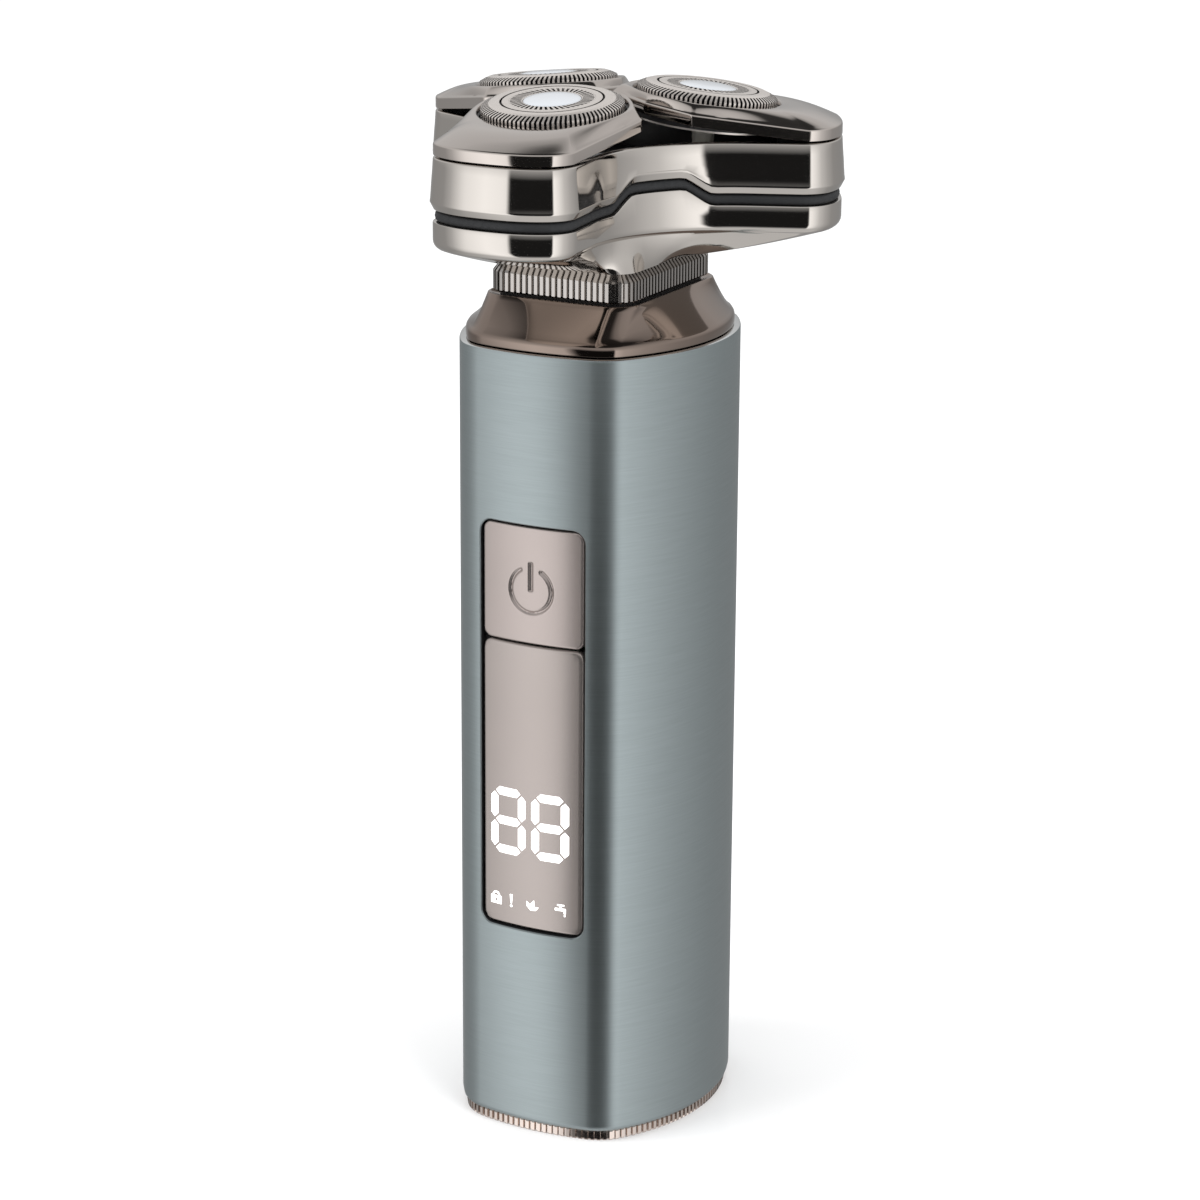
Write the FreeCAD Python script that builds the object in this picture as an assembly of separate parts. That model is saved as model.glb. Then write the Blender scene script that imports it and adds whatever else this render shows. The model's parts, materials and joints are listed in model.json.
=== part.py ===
import FreeCAD, Part
import math
import os
from FreeCAD import Vector

# Rotary electric shaver, in millimetres.
# Origin: centre of the flat base. +Z is up the handle and the button faces -Y.

# Handle tube: a rounded rectangle with four bowed faces.
HANDLE_HALF_X = 19.2
HANDLE_HALF_Y = 21.55
SIDE_BOW_RADIUS = 29.8
FRONT_BOW_RADIUS = 41.1
HANDLE_CORNER = 7.6
TUBE_LOW = 1.5
TUBE_TOP = 118.8
TUBE_WALL = 1.3
FIT = 0.05                      # gap between pieces that are fixed to each other

# Front panel: window, push button and display lens.
WINDOW_HALF_WIDTH = 8.55
WINDOW_LOW = 32.05
WINDOW_TOP = 93.9
WINDOW_CORNER = 2.0
PANEL_GAP = 0.45
PANEL_RECESS = 0.4
PANEL_THICKNESS = 0.9
BUTTON_LOW = 76.2
BUTTON_CENTRE = 84.2

# Shoulder and neck.
SHOULDER_LOW = 118.9
SHOULDER_LIP = 120.6
SHOULDER_TOP = 125.3
SHOULDER_INSET = 0.9
NECK_HALF_X = 11.3
NECK_HALF_Y = 14.3
NECK_CORNER = 3.2
NECK_LOW = 125.6
NECK_TOP = 129.6
NECK_WALL = 1.1
SOCKET_WALL = 1.6
SOCKET_LOW = 121.0
SOCKET_FLOOR = 123.5

# Charging port in the base.
PORT_HALF_X = 5.0
PORT_LOW_Y = 4.6
PORT_HIGH_Y = 11.4
PORT_DEPTH = 9.0
PIN_X = 2.2
PIN_LOW = 4.5

# Battery and circuit board.
BATTERY_RADIUS = 7.1
BATTERY_Y = 2.0
BATTERY_LOW = 26.0
BATTERY_TOP = 76.0
BOARD_FRONT = -13.0
BOARD_BACK = -11.8

# Head: plan outline with three equal lobes.
LOBE_ANGLES = (-90.0, 30.0, 150.0)
LOBE_TIP_RADIUS = 34.3
LOBE_TIP_HALF_ANGLE = 5.0
LOBE_CHEEK = 12.0
LOBE_CHEEK_END = 34.0
LOBE_CORNER = 5.0
LOBE_SIDE_ANGLE = 97.5
WAIST_RADIUS = 21.0
HEAD_WALL = 1.4
SHELL_OFFSET = 0.1              # lower shell, outside the plan outline
BELLY_OFFSET = -0.6             # rounded belly, inside it

# Head heights.
HEAD_LOW = 129.8
BELLY_TOP = 134.5
SEAL_LOW = 138.4
FRAME_LOW = 140.0
FRAME_RIDGE = 141.1
FRAME_TOP = 147.3
NOTCH_RISE = 2.4
NOTCH_FLAT = 9.0
NOTCH_BASE = 16.0
HEAD_FLOOR = 135.2
HUB_BORE = 6.0
BOSS_ORBIT = 10.4
BOSS_RADIUS = 1.5
SCREW_RADIUS = 0.6

# Gear train.
GEAR_MODULE = 0.6
SUN_TEETH = 26
PLANET_TEETH = 22
GEAR_BACKLASH = 0.16
GEAR_LOW = 136.0
GEAR_TOP = 138.6
GEAR_ORBIT = GEAR_MODULE * (SUN_TEETH + PLANET_TEETH) / 2
AXLE_RADIUS = 1.0
RUNNING_GAP = 0.06
COVER_LOW = 139.4
COVER_TOP = 140.2
PLATE_LOW = 142.0
PLATE_TOP = 143.2
HUB_CUP_RADIUS = 3.9
HUB_CUP_TOP = 142.6

# Pods and cutters. A pod's plan has three corners on each side of its lobe's axis, as (x, y),
# and its lower edge rises towards the middle of the head.
POD_LOW = 147.55
POD_BAND = 1.75
POD_RISE = 0.147
POD_SIDE_CORNER = (12.1, 12.7)
POD_INNER_CORNER = (5.6, 7.4)
POD_APEX = 1.3
RING_ORBIT = 14.97
RING_HEIGHT = 153.2
RING_TILT = 6.5
RING_RADIUS = 10.1
RING_RECESS = 10.8
RING_RECESS_DEPTH = 0.5
RING_TOP_RADIUS = 8.4
RING_TOP_RISE = 0.75
RING_SKIRT = 4.6
CAP_RADIUS = 4.2
BORE_GAP = 0.15
PIVOT_X = 26.2
PIVOT_Z = 145.6
PIVOT_RADIUS = 1.0
LUG_LOW_Y = 5.4
LUG_HIGH_Y = 7.2
BLADES = 9

# Drive along the axis.
MOTOR_RADIUS = 11.6
MOTOR_LOW = 86.5
MOTOR_TOP = 113.4
MOTOR_SCREW_X = 8.0
MOUNT_TOP = 115.4
SHAFT_RADIUS = 1.0
DOG_LOW = 126.0
DOG_TOP = 134.4


# ---------------------------------------------------------------- plain shapes

def polar(radius, degrees, z=0.0):
    angle = math.radians(degrees)
    return Vector(radius * math.cos(angle), radius * math.sin(angle), z)


def block(x, y, z, corner=0.0):
    """A box from three (low, high) spans; corner rounds its edges along Y."""
    solid = Part.makeBox(x[1] - x[0], y[1] - y[0], z[1] - z[0], Vector(x[0], y[0], z[0]))
    if corner:
        along_y = [e for e in solid.Edges if abs(e.tangentAt(e.FirstParameter).y) > 0.99]
        solid = solid.makeFillet(corner, along_y)
    return solid


def rod(radius, low, high, x=0.0, y=0.0):
    return Part.makeCylinder(radius, high - low, Vector(x, y, low))


def rod_along_y(radius, low, high, x, z):
    return Part.makeCylinder(radius, high - low, Vector(x, low, z), Vector(0, 1, 0))


def collar(outer, inner, low, high, x=0.0, y=0.0):
    return rod(outer, low, high, x, y).cut(rod(inner, low - 1, high + 1, x, y))


def prism(sides, radius, low, high, x=0.0, y=0.0):
    points = [polar(radius, 360.0 * k / sides, low) + Vector(x, y, 0) for k in range(sides + 1)]
    return Part.Face(Part.makePolygon(points)).extrude(Vector(0, 0, high - low))


def revolved(profile):
    """Turn a closed (radius, z) profile round the Z axis."""
    points = [Vector(r, 0, z) for r, z in profile + profile[:1]]
    return Part.Face(Part.makePolygon(points)).revolve(Vector(0, 0, 0), Vector(0, 0, 1), 360)


def flipped(point):
    return Vector(point.x, -point.y, point.z)


def edge_through(start, middle, end):
    bend = (middle - start).cross(end - middle).Length
    if bend < 1e-6:
        return Part.LineSegment(start, end).toShape()
    return Part.Arc(start, middle, end).toShape()


def loop(points):
    """A closed wire: even points are corners, odd points lie midway along an edge."""
    count = len(points)
    edges = [edge_through(points[k], points[k + 1], points[(k + 2) % count])
             for k in range(0, count, 2)]
    return Part.Wire(edges)


def extruded(wire, height):
    return Part.Face(wire).extrude(Vector(0, 0, height))


def turned(shape, degrees):
    copy = shape.copy()
    copy.rotate(Vector(0, 0, 0), Vector(0, 0, 1), degrees)
    return copy


def three_fold(make):
    """The same piece at each lobe, as one group."""
    return [turned(make(), angle) for angle in LOBE_ANGLES]


# ------------------------------------------------------------- handle sections

def mirrored_loop(side, corner_start, corner_middle, corner_end, front, z):
    """A loop that is symmetric about X and Y, from its points in the first quadrant."""
    quadrant = [corner_start, corner_middle, corner_end]
    first = [(x, y) for x, y in quadrant]
    second = [(-x, y) for x, y in reversed(quadrant)]
    third = [(-x, -y) for x, y in quadrant]
    fourth = [(x, -y) for x, y in reversed(quadrant)]
    flat = first + [(0, front)] + second + [(-side, 0)] + third + [(0, -front)] + fourth + [(side, 0)]
    return loop([Vector(x, y, z) for x, y in flat])


def handle_wire(offset, z):
    """The handle's outline, moved outward by offset."""
    side = HANDLE_HALF_X + offset
    front = HANDLE_HALF_Y + offset
    side_radius = SIDE_BOW_RADIUS + offset
    front_radius = FRONT_BOW_RADIUS + offset
    corner = HANDLE_CORNER + offset
    side_centre = Vector(side - side_radius, 0, 0)
    front_centre = Vector(0, front - front_radius, 0)
    reach_side = side_radius - corner
    reach_front = front_radius - corner
    base = front_centre - side_centre
    along = (reach_side ** 2 - reach_front ** 2 + base.Length ** 2) / (2 * base.Length)
    across = math.sqrt(reach_side ** 2 - along ** 2)
    unit = base / base.Length
    centre = side_centre + unit * along + Vector(-unit.y, unit.x, 0) * across
    to_side = (centre - side_centre) / reach_side
    to_front = (centre - front_centre) / reach_front
    halfway = to_side + to_front
    start = centre + to_side * corner
    middle = centre + halfway * (corner / halfway.Length)
    end = centre + to_front * corner
    return mirrored_loop(side, (start.x, start.y), (middle.x, middle.y), (end.x, end.y), front, z)


def handle_solid(offset, low, high):
    return extruded(handle_wire(offset, low), high - low)


def handle_ring(outer, inner, low, high):
    return handle_solid(outer, low, high).cut(handle_solid(inner, low - 1, high + 1))


def neck_wire(offset, z):
    """The neck's rounded rectangle, moved outward by offset."""
    side = NECK_HALF_X + offset
    front = NECK_HALF_Y + offset
    corner = max(NECK_CORNER + offset, 0.6)
    reach = corner * math.sqrt(0.5)
    middle = (side - corner + reach, front - corner + reach)
    return mirrored_loop(side, (side, front - corner), middle, (side - corner, front), front, z)


def neck_solid(offset, low, high):
    return extruded(neck_wire(offset, low), high - low)


# --------------------------------------------------------------- head sections

def lobe_centres():
    """Centres of the cheek arc and the corner arc on one side of a lobe."""
    cheek = polar(LOBE_TIP_RADIUS - LOBE_CHEEK, LOBE_TIP_HALF_ANGLE)
    return cheek, cheek + polar(LOBE_CHEEK - LOBE_CORNER, LOBE_CHEEK_END)


def lobe_points(offset):
    """Corner and middle points of one lobe, from its first corner arc to the next waist."""
    tip = LOBE_TIP_RADIUS + offset
    cheek_radius = LOBE_CHEEK + offset
    corner_radius = LOBE_CORNER + offset
    cheek, corner = lobe_centres()
    side = polar(1, LOBE_SIDE_ANGLE)
    bisector = polar(1, 60)
    waist_centre = (side.dot(corner) + LOBE_CORNER + WAIST_RADIUS) / side.dot(bisector)
    half = [polar(tip, LOBE_TIP_HALF_ANGLE),
            cheek + polar(cheek_radius, (LOBE_TIP_HALF_ANGLE + LOBE_CHEEK_END) / 2),
            cheek + polar(cheek_radius, LOBE_CHEEK_END),
            corner + polar(corner_radius, (LOBE_CHEEK_END + LOBE_SIDE_ANGLE) / 2),
            corner + polar(corner_radius, LOBE_SIDE_ANGLE)]
    waist = bisector * (waist_centre - WAIST_RADIUS + offset)
    return [flipped(p) for p in reversed(half)] + [polar(tip, 0)] + half + [waist]


def head_wire(offset, z):
    points = []
    for angle in LOBE_ANGLES:
        turn = FreeCAD.Rotation(Vector(0, 0, 1), angle)
        points += [turn.multVec(p) + Vector(0, 0, z) for p in lobe_points(offset)]
    return loop(points)


def head_solid(offset, low, high):
    return extruded(head_wire(offset, low), high - low)


def head_ring(outer, inner, low, high):
    return head_solid(outer, low, high).cut(head_solid(inner, low - 1, high + 1))


def below_seam(height):
    """All space under a seam that steps up at the three waists, for the thumb notches."""
    space = Part.makeBox(100, 100, height - 120, Vector(-50, -50, 120))
    for angle in LOBE_ANGLES:
        profile = [Vector(8, NOTCH_BASE / 2, height), Vector(8, NOTCH_FLAT / 2, height + NOTCH_RISE),
                   Vector(8, -NOTCH_FLAT / 2, height + NOTCH_RISE), Vector(8, -NOTCH_BASE / 2, height)]
        wedge = Part.Face(Part.makePolygon(profile + profile[:1])).extrude(Vector(12, 0, 0))
        space = space.fuse(turned(wedge, angle + 60))
    return space.removeSplitter()


# ------------------------------------------------------------------ the handle

def make_handle_tube():
    tube = handle_ring(0, -TUBE_WALL, TUBE_LOW, TUBE_TOP)
    window = block((-WINDOW_HALF_WIDTH, WINDOW_HALF_WIDTH), (-30, -12), (WINDOW_LOW, WINDOW_TOP),
                   WINDOW_CORNER)
    return tube.cut(window)


def front_plate(outer, inner, half_width, low, high, corner):
    """A plate that follows the bow of the handle's front."""
    plate = handle_ring(outer, inner, low, high)
    return plate.common(block((-half_width, half_width), (-30, -12), (low, high), corner))


def make_power_button():
    half_width = WINDOW_HALF_WIDTH - PANEL_GAP
    plate = front_plate(-PANEL_RECESS, -PANEL_RECESS - PANEL_THICKNESS, half_width,
                        BUTTON_LOW, WINDOW_TOP - PANEL_GAP, 1.2)
    back = -HANDLE_HALF_Y + PANEL_RECESS + PANEL_THICKNESS
    boss = rod_along_y(2.0, back - 0.3, -17.5, 0, BUTTON_CENTRE)
    return plate.fuse(boss)


def make_display_lens():
    half_width = WINDOW_HALF_WIDTH - PANEL_GAP
    return front_plate(-PANEL_RECESS, -PANEL_RECESS - PANEL_THICKNESS, half_width,
                       WINDOW_LOW + PANEL_GAP, BUTTON_LOW - 0.3, 1.2)


def make_panel_carrier():
    outer = -TUBE_WALL - FIT
    carrier = front_plate(outer, outer - 0.9, WINDOW_HALF_WIDTH + 1.6, WINDOW_LOW - 2.5,
                          WINDOW_TOP + 2.5, 1.5)
    button_hole = block((-8.4, 8.4), (-30, -12), (BUTTON_LOW - 0.5, WINDOW_TOP), 1.0)
    display_hole = block((-6.8, 6.8), (-30, -12), (WINDOW_LOW + 3, BUTTON_LOW - 3), 1.0)
    return carrier.cut(button_hole).cut(display_hole)


def make_shoulder():
    skirt = handle_solid(-SHOULDER_INSET, SHOULDER_LOW, SHOULDER_LIP)
    slope = Part.makeLoft([handle_wire(-SHOULDER_INSET, SHOULDER_LIP), neck_wire(0.6, SHOULDER_TOP)],
                          True, True)
    clip = handle_ring(-TUBE_WALL - FIT, -TUBE_WALL - 1.3, 116.4, SHOULDER_LOW)
    solid = skirt.fuse(slope).fuse(clip)
    hole = neck_solid(-NECK_WALL + FIT, 110, 130)
    inside = handle_solid(-TUBE_WALL - 1.3, 110, SHOULDER_LOW + 1.6)
    return solid.cut(hole).cut(inside)


def make_neck_ring():
    return neck_solid(0, NECK_LOW, NECK_TOP).cut(neck_solid(-NECK_WALL + FIT, NECK_LOW - 1, NECK_TOP + 1))


def make_neck_socket():
    outside = neck_solid(-NECK_WALL, SOCKET_LOW, NECK_TOP - 0.4)
    pocket = neck_solid(-NECK_WALL - SOCKET_WALL, SOCKET_FLOOR, NECK_TOP + 1)
    return outside.cut(pocket).cut(rod(4.0, SOCKET_LOW - 1, SOCKET_FLOOR + 1))


def make_latch_magnets():
    return [rod(1.5, SOCKET_FLOOR, SOCKET_FLOOR + 2, x, y) for x in (-6, 6) for y in (-8.5, 8.5)]


def make_shaft_seal():
    return collar(4.0 - FIT, SHAFT_RADIUS + RUNNING_GAP, SOCKET_LOW, SOCKET_FLOOR)


def port_space(low, high):
    return Part.makeBox(2 * PORT_HALF_X, PORT_HIGH_Y - PORT_LOW_Y, high - low,
                        Vector(-PORT_HALF_X, PORT_LOW_Y, low))


def make_base_ring():
    return handle_ring(-0.6, -2.2, 0, TUBE_LOW)


def make_base_cap():
    plate = handle_solid(-2.2 - FIT, 0, 3)
    skirt = handle_ring(-TUBE_WALL - FIT, -3.0, TUBE_LOW, 7)
    groove = handle_ring(0, -2.0, 4.0, 5.2)
    return plate.fuse(skirt).cut(groove).cut(port_space(-1, 4))


def make_base_gasket():
    return handle_ring(-TUBE_WALL - 0.02, -2.0, 4.05, 5.15)


def make_charge_socket():
    housing = Part.makeBox(12.8, 9.6, 9.0, Vector(-6.4, 3.2, 3.0))
    housing = housing.cut(port_space(2, PORT_DEPTH))
    for x in (-PIN_X, PIN_X):
        housing = housing.cut(rod(0.85, PORT_DEPTH - 1, 13, x, 8))
    return housing


def make_charge_pins():
    return [rod(0.8, PIN_LOW, 13.5, x, 8) for x in (-PIN_X, PIN_X)]


def make_chassis():
    tray = block((-13.5, 13.5), (BOARD_BACK, 13.0), (15, 84))
    tray = tray.cut(block((-12.3, 12.3), (-20, 20), (16.5, 82.5)))
    ribs = [block((-12.6, 12.6), (-8, 13.0), (z, z + 1.2)) for z in (22, 78.5)]
    for rib in ribs:
        tray = tray.fuse(rib)
    return tray


def make_chassis_cover():
    return block((-13.5, 13.5), (13.0 + FIT, 14.4), (15, 84))


def make_battery_cell():
    can = rod(BATTERY_RADIUS, BATTERY_LOW, BATTERY_TOP, 0, BATTERY_Y)
    return can.fuse(rod(2.6, BATTERY_TOP, BATTERY_TOP + 0.8, 0, BATTERY_Y))


def make_battery_tabs():
    top = block((-2, 2), (BOARD_BACK + FIT, BATTERY_Y + 2), (BATTERY_TOP + 0.85, BATTERY_TOP + 1.1))
    bottom = block((-2, 2), (BOARD_BACK + FIT, BATTERY_Y + 2), (BATTERY_LOW - 0.3, BATTERY_LOW - 0.05))
    return [top, bottom]


def make_main_board():
    return block((-13, 13), (BOARD_FRONT, BOARD_BACK - FIT), (18, 86))


def make_board_chips():
    front = BOARD_FRONT - 1.2
    return [block((x - 2.5, x + 2.5), (front, BOARD_FRONT - 0.02), (z - 2.5, z + 2.5))
            for x, z in ((-6, 24), (6, 24), (-9, 79), (9, 79))]


def make_tact_switch():
    body = block((-3, 3), (-16.2, BOARD_FRONT - 0.02), (BUTTON_CENTRE - 3, BUTTON_CENTRE + 3))
    plunger = rod_along_y(1.2, -16.95, -16.0, 0, BUTTON_CENTRE)
    return body.fuse(plunger)


def make_display_module():
    return block((-7, 7), (-18.2, BOARD_FRONT - 0.02), (36, 72))


def make_motor_can():
    can = rod(MOTOR_RADIUS, MOTOR_LOW, MOTOR_TOP)
    can = can.fuse(rod(3.4, MOTOR_TOP, MOUNT_TOP))
    can = can.cut(rod(SHAFT_RADIUS + RUNNING_GAP, MOTOR_TOP - 12, MOUNT_TOP + 1))
    for x in (-MOTOR_SCREW_X, MOTOR_SCREW_X):
        can = can.cut(rod(1.0 + FIT, MOTOR_TOP - 3.2, MOTOR_TOP + 1, x, 0))
    return can


def make_motor_mount():
    plate = handle_solid(-TUBE_WALL - 0.2, MOTOR_TOP + FIT, MOUNT_TOP)
    plate = plate.cut(rod(3.4 + FIT, MOTOR_TOP - 1, MOUNT_TOP + 1))
    for x in (-MOTOR_SCREW_X, MOTOR_SCREW_X):
        plate = plate.cut(rod(1.0 + FIT, MOTOR_TOP - 1, MOUNT_TOP + 1, x, 0))
    return plate


def make_motor_screws():
    screws = []
    for x in (-MOTOR_SCREW_X, MOTOR_SCREW_X):
        screw = rod(1.0, MOTOR_TOP - 3, MOUNT_TOP, x, 0).fuse(rod(1.9, MOUNT_TOP, MOUNT_TOP + 1.0, x, 0))
        screws.append(screw.cut(block((x - 0.3, x + 0.3), (-2, 2), (MOUNT_TOP + 0.5, MOUNT_TOP + 2))))
    return screws


def make_motor_shaft():
    return rod(SHAFT_RADIUS, MOTOR_TOP - 11, DOG_TOP - 1)


def make_drive_dog():
    hub = rod(3.0, DOG_LOW, 129.0).fuse(prism(6, 2.9, 129.0, DOG_TOP))
    return hub.cut(rod(SHAFT_RADIUS, DOG_LOW - 1, DOG_TOP - 1))


# ------------------------------------------------------------------- head base

def outline_points(wire, count):
    """Points on a closed outline at equal turns of angle, seen from the axis."""
    found = []
    for k in range(count):
        far = polar(80, 360.0 * k / count, wire.BoundBox.ZMin)
        ray = Part.LineSegment(Vector(0, 0, far.z), far).toShape()
        found.append(ray.distToShape(wire)[1][0][0])
    return found


def smooth_wire(wire, count=72):
    curve = Part.BSplineCurve()
    curve.interpolate(outline_points(wire, count), PeriodicFlag=True)
    return Part.Wire(curve.toShape())


def make_lower_shell():
    belly = Part.makeLoft([smooth_wire(neck_wire(0.3, HEAD_LOW)),
                           smooth_wire(head_wire(BELLY_OFFSET, BELLY_TOP))], True, True)
    wall = head_solid(BELLY_OFFSET + 0.35, BELLY_TOP - 0.3, SEAL_LOW + NOTCH_RISE)
    wall = wall.fuse(head_solid(SHELL_OFFSET, BELLY_TOP + 0.5, SEAL_LOW + NOTCH_RISE))
    wall = wall.cut(head_solid(SHELL_OFFSET - HEAD_WALL, HEAD_FLOOR, SEAL_LOW + 10))
    wall = wall.common(below_seam(SEAL_LOW))
    spigot = neck_solid(-NECK_WALL - SOCKET_WALL - 0.35, DOG_LOW + 0.8, HEAD_LOW + 0.5)
    shell = belly.fuse(wall).fuse(spigot)
    for angle in LOBE_ANGLES:
        place = polar(BOSS_ORBIT, angle + 60)
        shell = shell.fuse(rod(BOSS_RADIUS, HEAD_FLOOR - 0.5, COVER_LOW - FIT, place.x, place.y))
    shell = shell.cut(rod(HUB_BORE, 120, HEAD_FLOOR + 1))
    for angle in LOBE_ANGLES:
        hole = polar(BOSS_ORBIT, angle + 60)
        shell = shell.cut(rod(SCREW_RADIUS + FIT, HEAD_FLOOR + 0.5, COVER_LOW + 1, hole.x, hole.y))
        axle = polar(GEAR_ORBIT, angle)
        shell = shell.cut(rod(AXLE_RADIUS + 0.01, HEAD_FLOOR - 1.2, HEAD_FLOOR + 1, axle.x, axle.y))
    return shell


def make_seam_seal():
    ring = head_ring(-0.35, SHELL_OFFSET - HEAD_WALL, SEAL_LOW, FRAME_LOW + NOTCH_RISE)
    return ring.common(below_seam(FRAME_LOW - 0.12)).cut(below_seam(SEAL_LOW + 0.02))


def make_latch_plate():
    plate = neck_solid(-NECK_WALL - SOCKET_WALL - 0.6, DOG_LOW + 0.3, DOG_LOW + 0.78)
    return plate.cut(rod(HUB_BORE - 0.5, 120, 130))


def make_gear_axles():
    return three_fold(lambda: rod(AXLE_RADIUS, HEAD_FLOOR - 1.15, 141.0, GEAR_ORBIT, 0))


def make_gear_cover():
    cover = head_solid(SHELL_OFFSET - HEAD_WALL - 0.4, COVER_LOW, COVER_TOP)
    for angle in LOBE_ANGLES:
        hub = polar(GEAR_ORBIT, angle)
        screw = polar(BOSS_ORBIT, angle + 60)
        cover = cover.cut(rod(HUB_CUP_RADIUS + 0.5, 130, 150, hub.x, hub.y))
        cover = cover.cut(rod(SCREW_RADIUS + FIT, 130, 150, screw.x, screw.y))
    return cover


def make_cover_screw():
    place = polar(BOSS_ORBIT, 60)
    shank = rod(SCREW_RADIUS, HEAD_FLOOR + 0.6, COVER_TOP, place.x, place.y)
    head = rod(1.3, COVER_TOP, COVER_TOP + 0.7, place.x, place.y)
    slot = block((place.x - 0.2, place.x + 0.2), (place.y - 2, place.y + 2), (COVER_TOP + 0.35, 142))
    return shank.fuse(head).cut(slot)


# ------------------------------------------------------------------ gear train

def involute(angle):
    return math.tan(angle) - angle


def gear_blank(teeth, low, high, phase):
    """A spur gear with involute flanks; phase is the angle of one tooth in degrees."""
    pitch = GEAR_MODULE * teeth / 2
    base = pitch * math.cos(math.radians(20))
    tip = pitch + GEAR_MODULE
    root = pitch - 1.25 * GEAR_MODULE
    half_tooth = (math.pi * GEAR_MODULE / 2 - GEAR_BACKLASH / 2) / (2 * pitch)
    at_pitch = half_tooth + involute(math.radians(20))
    flank = [(root, at_pitch + 0.01)]
    for k in range(5):
        radius = base + (tip - base) * k / 4
        flank.append((radius, at_pitch - involute(math.acos(min(1.0, base / radius)))))
    points = []
    for tooth in range(teeth):
        middle = phase + 360.0 * tooth / teeth
        rising = [polar(r, middle - math.degrees(half), low) for r, half in flank]
        falling = [polar(r, middle + math.degrees(half), low) for r, half in reversed(flank)]
        points += rising + falling
    face = Part.Face(Part.makePolygon(points + points[:1]))
    return face.extrude(Vector(0, 0, high - low))


def planet_phase(lobe_angle):
    """Tooth angle that puts a planet in mesh with a sun tooth at angle zero."""
    step = 360.0 / SUN_TEETH
    lead = step * round(lobe_angle / step) - lobe_angle
    gap = lobe_angle + 180 - lead * SUN_TEETH / PLANET_TEETH
    return gap + 180.0 / PLANET_TEETH


def make_sun_gear():
    gear = gear_blank(SUN_TEETH, GEAR_LOW, GEAR_TOP, 0.0)
    hub = rod(5.2, 131.0, GEAR_TOP + 0.3)
    socket = prism(6, 4.0, 130, DOG_TOP + 0.6)
    return gear.fuse(hub).cut(socket)


def make_drive_gear(angle):
    gear = gear_blank(PLANET_TEETH, GEAR_LOW, GEAR_TOP, planet_phase(angle))
    cup = collar(HUB_CUP_RADIUS, HUB_CUP_RADIUS - 0.8, GEAR_TOP - 0.4, HUB_CUP_TOP)
    gear = gear.fuse(cup).cut(rod(AXLE_RADIUS + RUNNING_GAP, 130, 140))
    place = polar(GEAR_ORBIT, angle)
    gear.translate(place)
    return gear


def make_spindle_spring():
    return collar(2.6, 1.8, GEAR_TOP + 0.1, 140.95, GEAR_ORBIT, 0)


def make_drive_spindle():
    flange = rod(2.7, 141.0, 142.0, GEAR_ORBIT, 0)
    stem = rod(1.6, 142.0, 148.6, GEAR_ORBIT, 0)
    tip = prism(6, 1.3, 148.6, 150.8, GEAR_ORBIT, 0)
    hollow = rod(AXLE_RADIUS + 0.15, 140, 143.2, GEAR_ORBIT, 0)
    return flange.fuse(stem).fuse(tip).cut(hollow)


# -------------------------------------------------------------------- head top

def make_upper_frame():
    low = FRAME_LOW
    lower = Part.makeLoft([head_wire(0.2, low), head_wire(0.5, FRAME_RIDGE)], True, True)
    upper = Part.makeLoft([head_wire(0.5, FRAME_RIDGE), head_wire(0.0, FRAME_TOP)], True, True)
    ring = lower.fuse(upper).cut(head_solid(-HEAD_WALL, low - 1, FRAME_TOP + 1))
    return ring.cut(below_seam(low))


def make_retainer_plate():
    plate = head_solid(-HEAD_WALL - FIT, PLATE_LOW, PLATE_TOP)
    plate = plate.cut(rod(1.6, 130, 150))
    for angle in LOBE_ANGLES:
        hole = polar(GEAR_ORBIT, angle)
        plate = plate.cut(rod(HUB_CUP_RADIUS + 0.5, 130, 150, hole.x, hole.y))
        for low in (-LUG_HIGH_Y, LUG_LOW_Y):
            lug = block((PIVOT_X - 1.6, PIVOT_X + 1.6), (low, low + LUG_HIGH_Y - LUG_LOW_Y),
                        (PLATE_TOP - 0.2, PIVOT_Z + 1.5))
            lug = lug.cut(rod_along_y(PIVOT_RADIUS + RUNNING_GAP, -9, 9, PIVOT_X, PIVOT_Z))
            plate = plate.fuse(turned(lug, angle))
    return plate


def make_retainer_knob():
    disc = rod(4.6, PLATE_LOW - 0.9, PLATE_LOW - 0.1)
    grip = block((-4.2, 4.2), (-0.8, 0.8), (COVER_TOP + 0.25, PLATE_LOW - 0.85))
    stem = rod(1.5, PLATE_LOW - 0.2, PLATE_TOP + 0.15)
    washer = rod(2.6, PLATE_TOP + 0.1, PLATE_TOP + 0.6)
    return disc.fuse(grip).fuse(stem).fuse(washer)


def pod_corners():
    """One side of the pod's plan: two points of the cheek, three of the corner arc, and three corners."""
    cheek, corner = lobe_centres()
    side = Vector(*POD_SIDE_CORNER, 0)
    back = side - corner
    tangent = math.degrees(math.atan2(back.y, back.x) - math.acos(LOBE_CORNER / back.Length))
    tip_end = polar(LOBE_TIP_RADIUS, LOBE_TIP_HALF_ANGLE)
    cheek_middle = cheek + polar(LOBE_CHEEK, (LOBE_TIP_HALF_ANGLE + LOBE_CHEEK_END) / 2)
    cheek_end = cheek + polar(LOBE_CHEEK, LOBE_CHEEK_END)
    turn = corner + polar(LOBE_CORNER, (LOBE_CHEEK_END + tangent) / 2)
    leave = corner + polar(LOBE_CORNER, tangent)
    return (tip_end, cheek_middle, cheek_end, turn, leave, side,
            Vector(*POD_INNER_CORNER, 0), Vector(POD_APEX, 0, 0))


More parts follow.
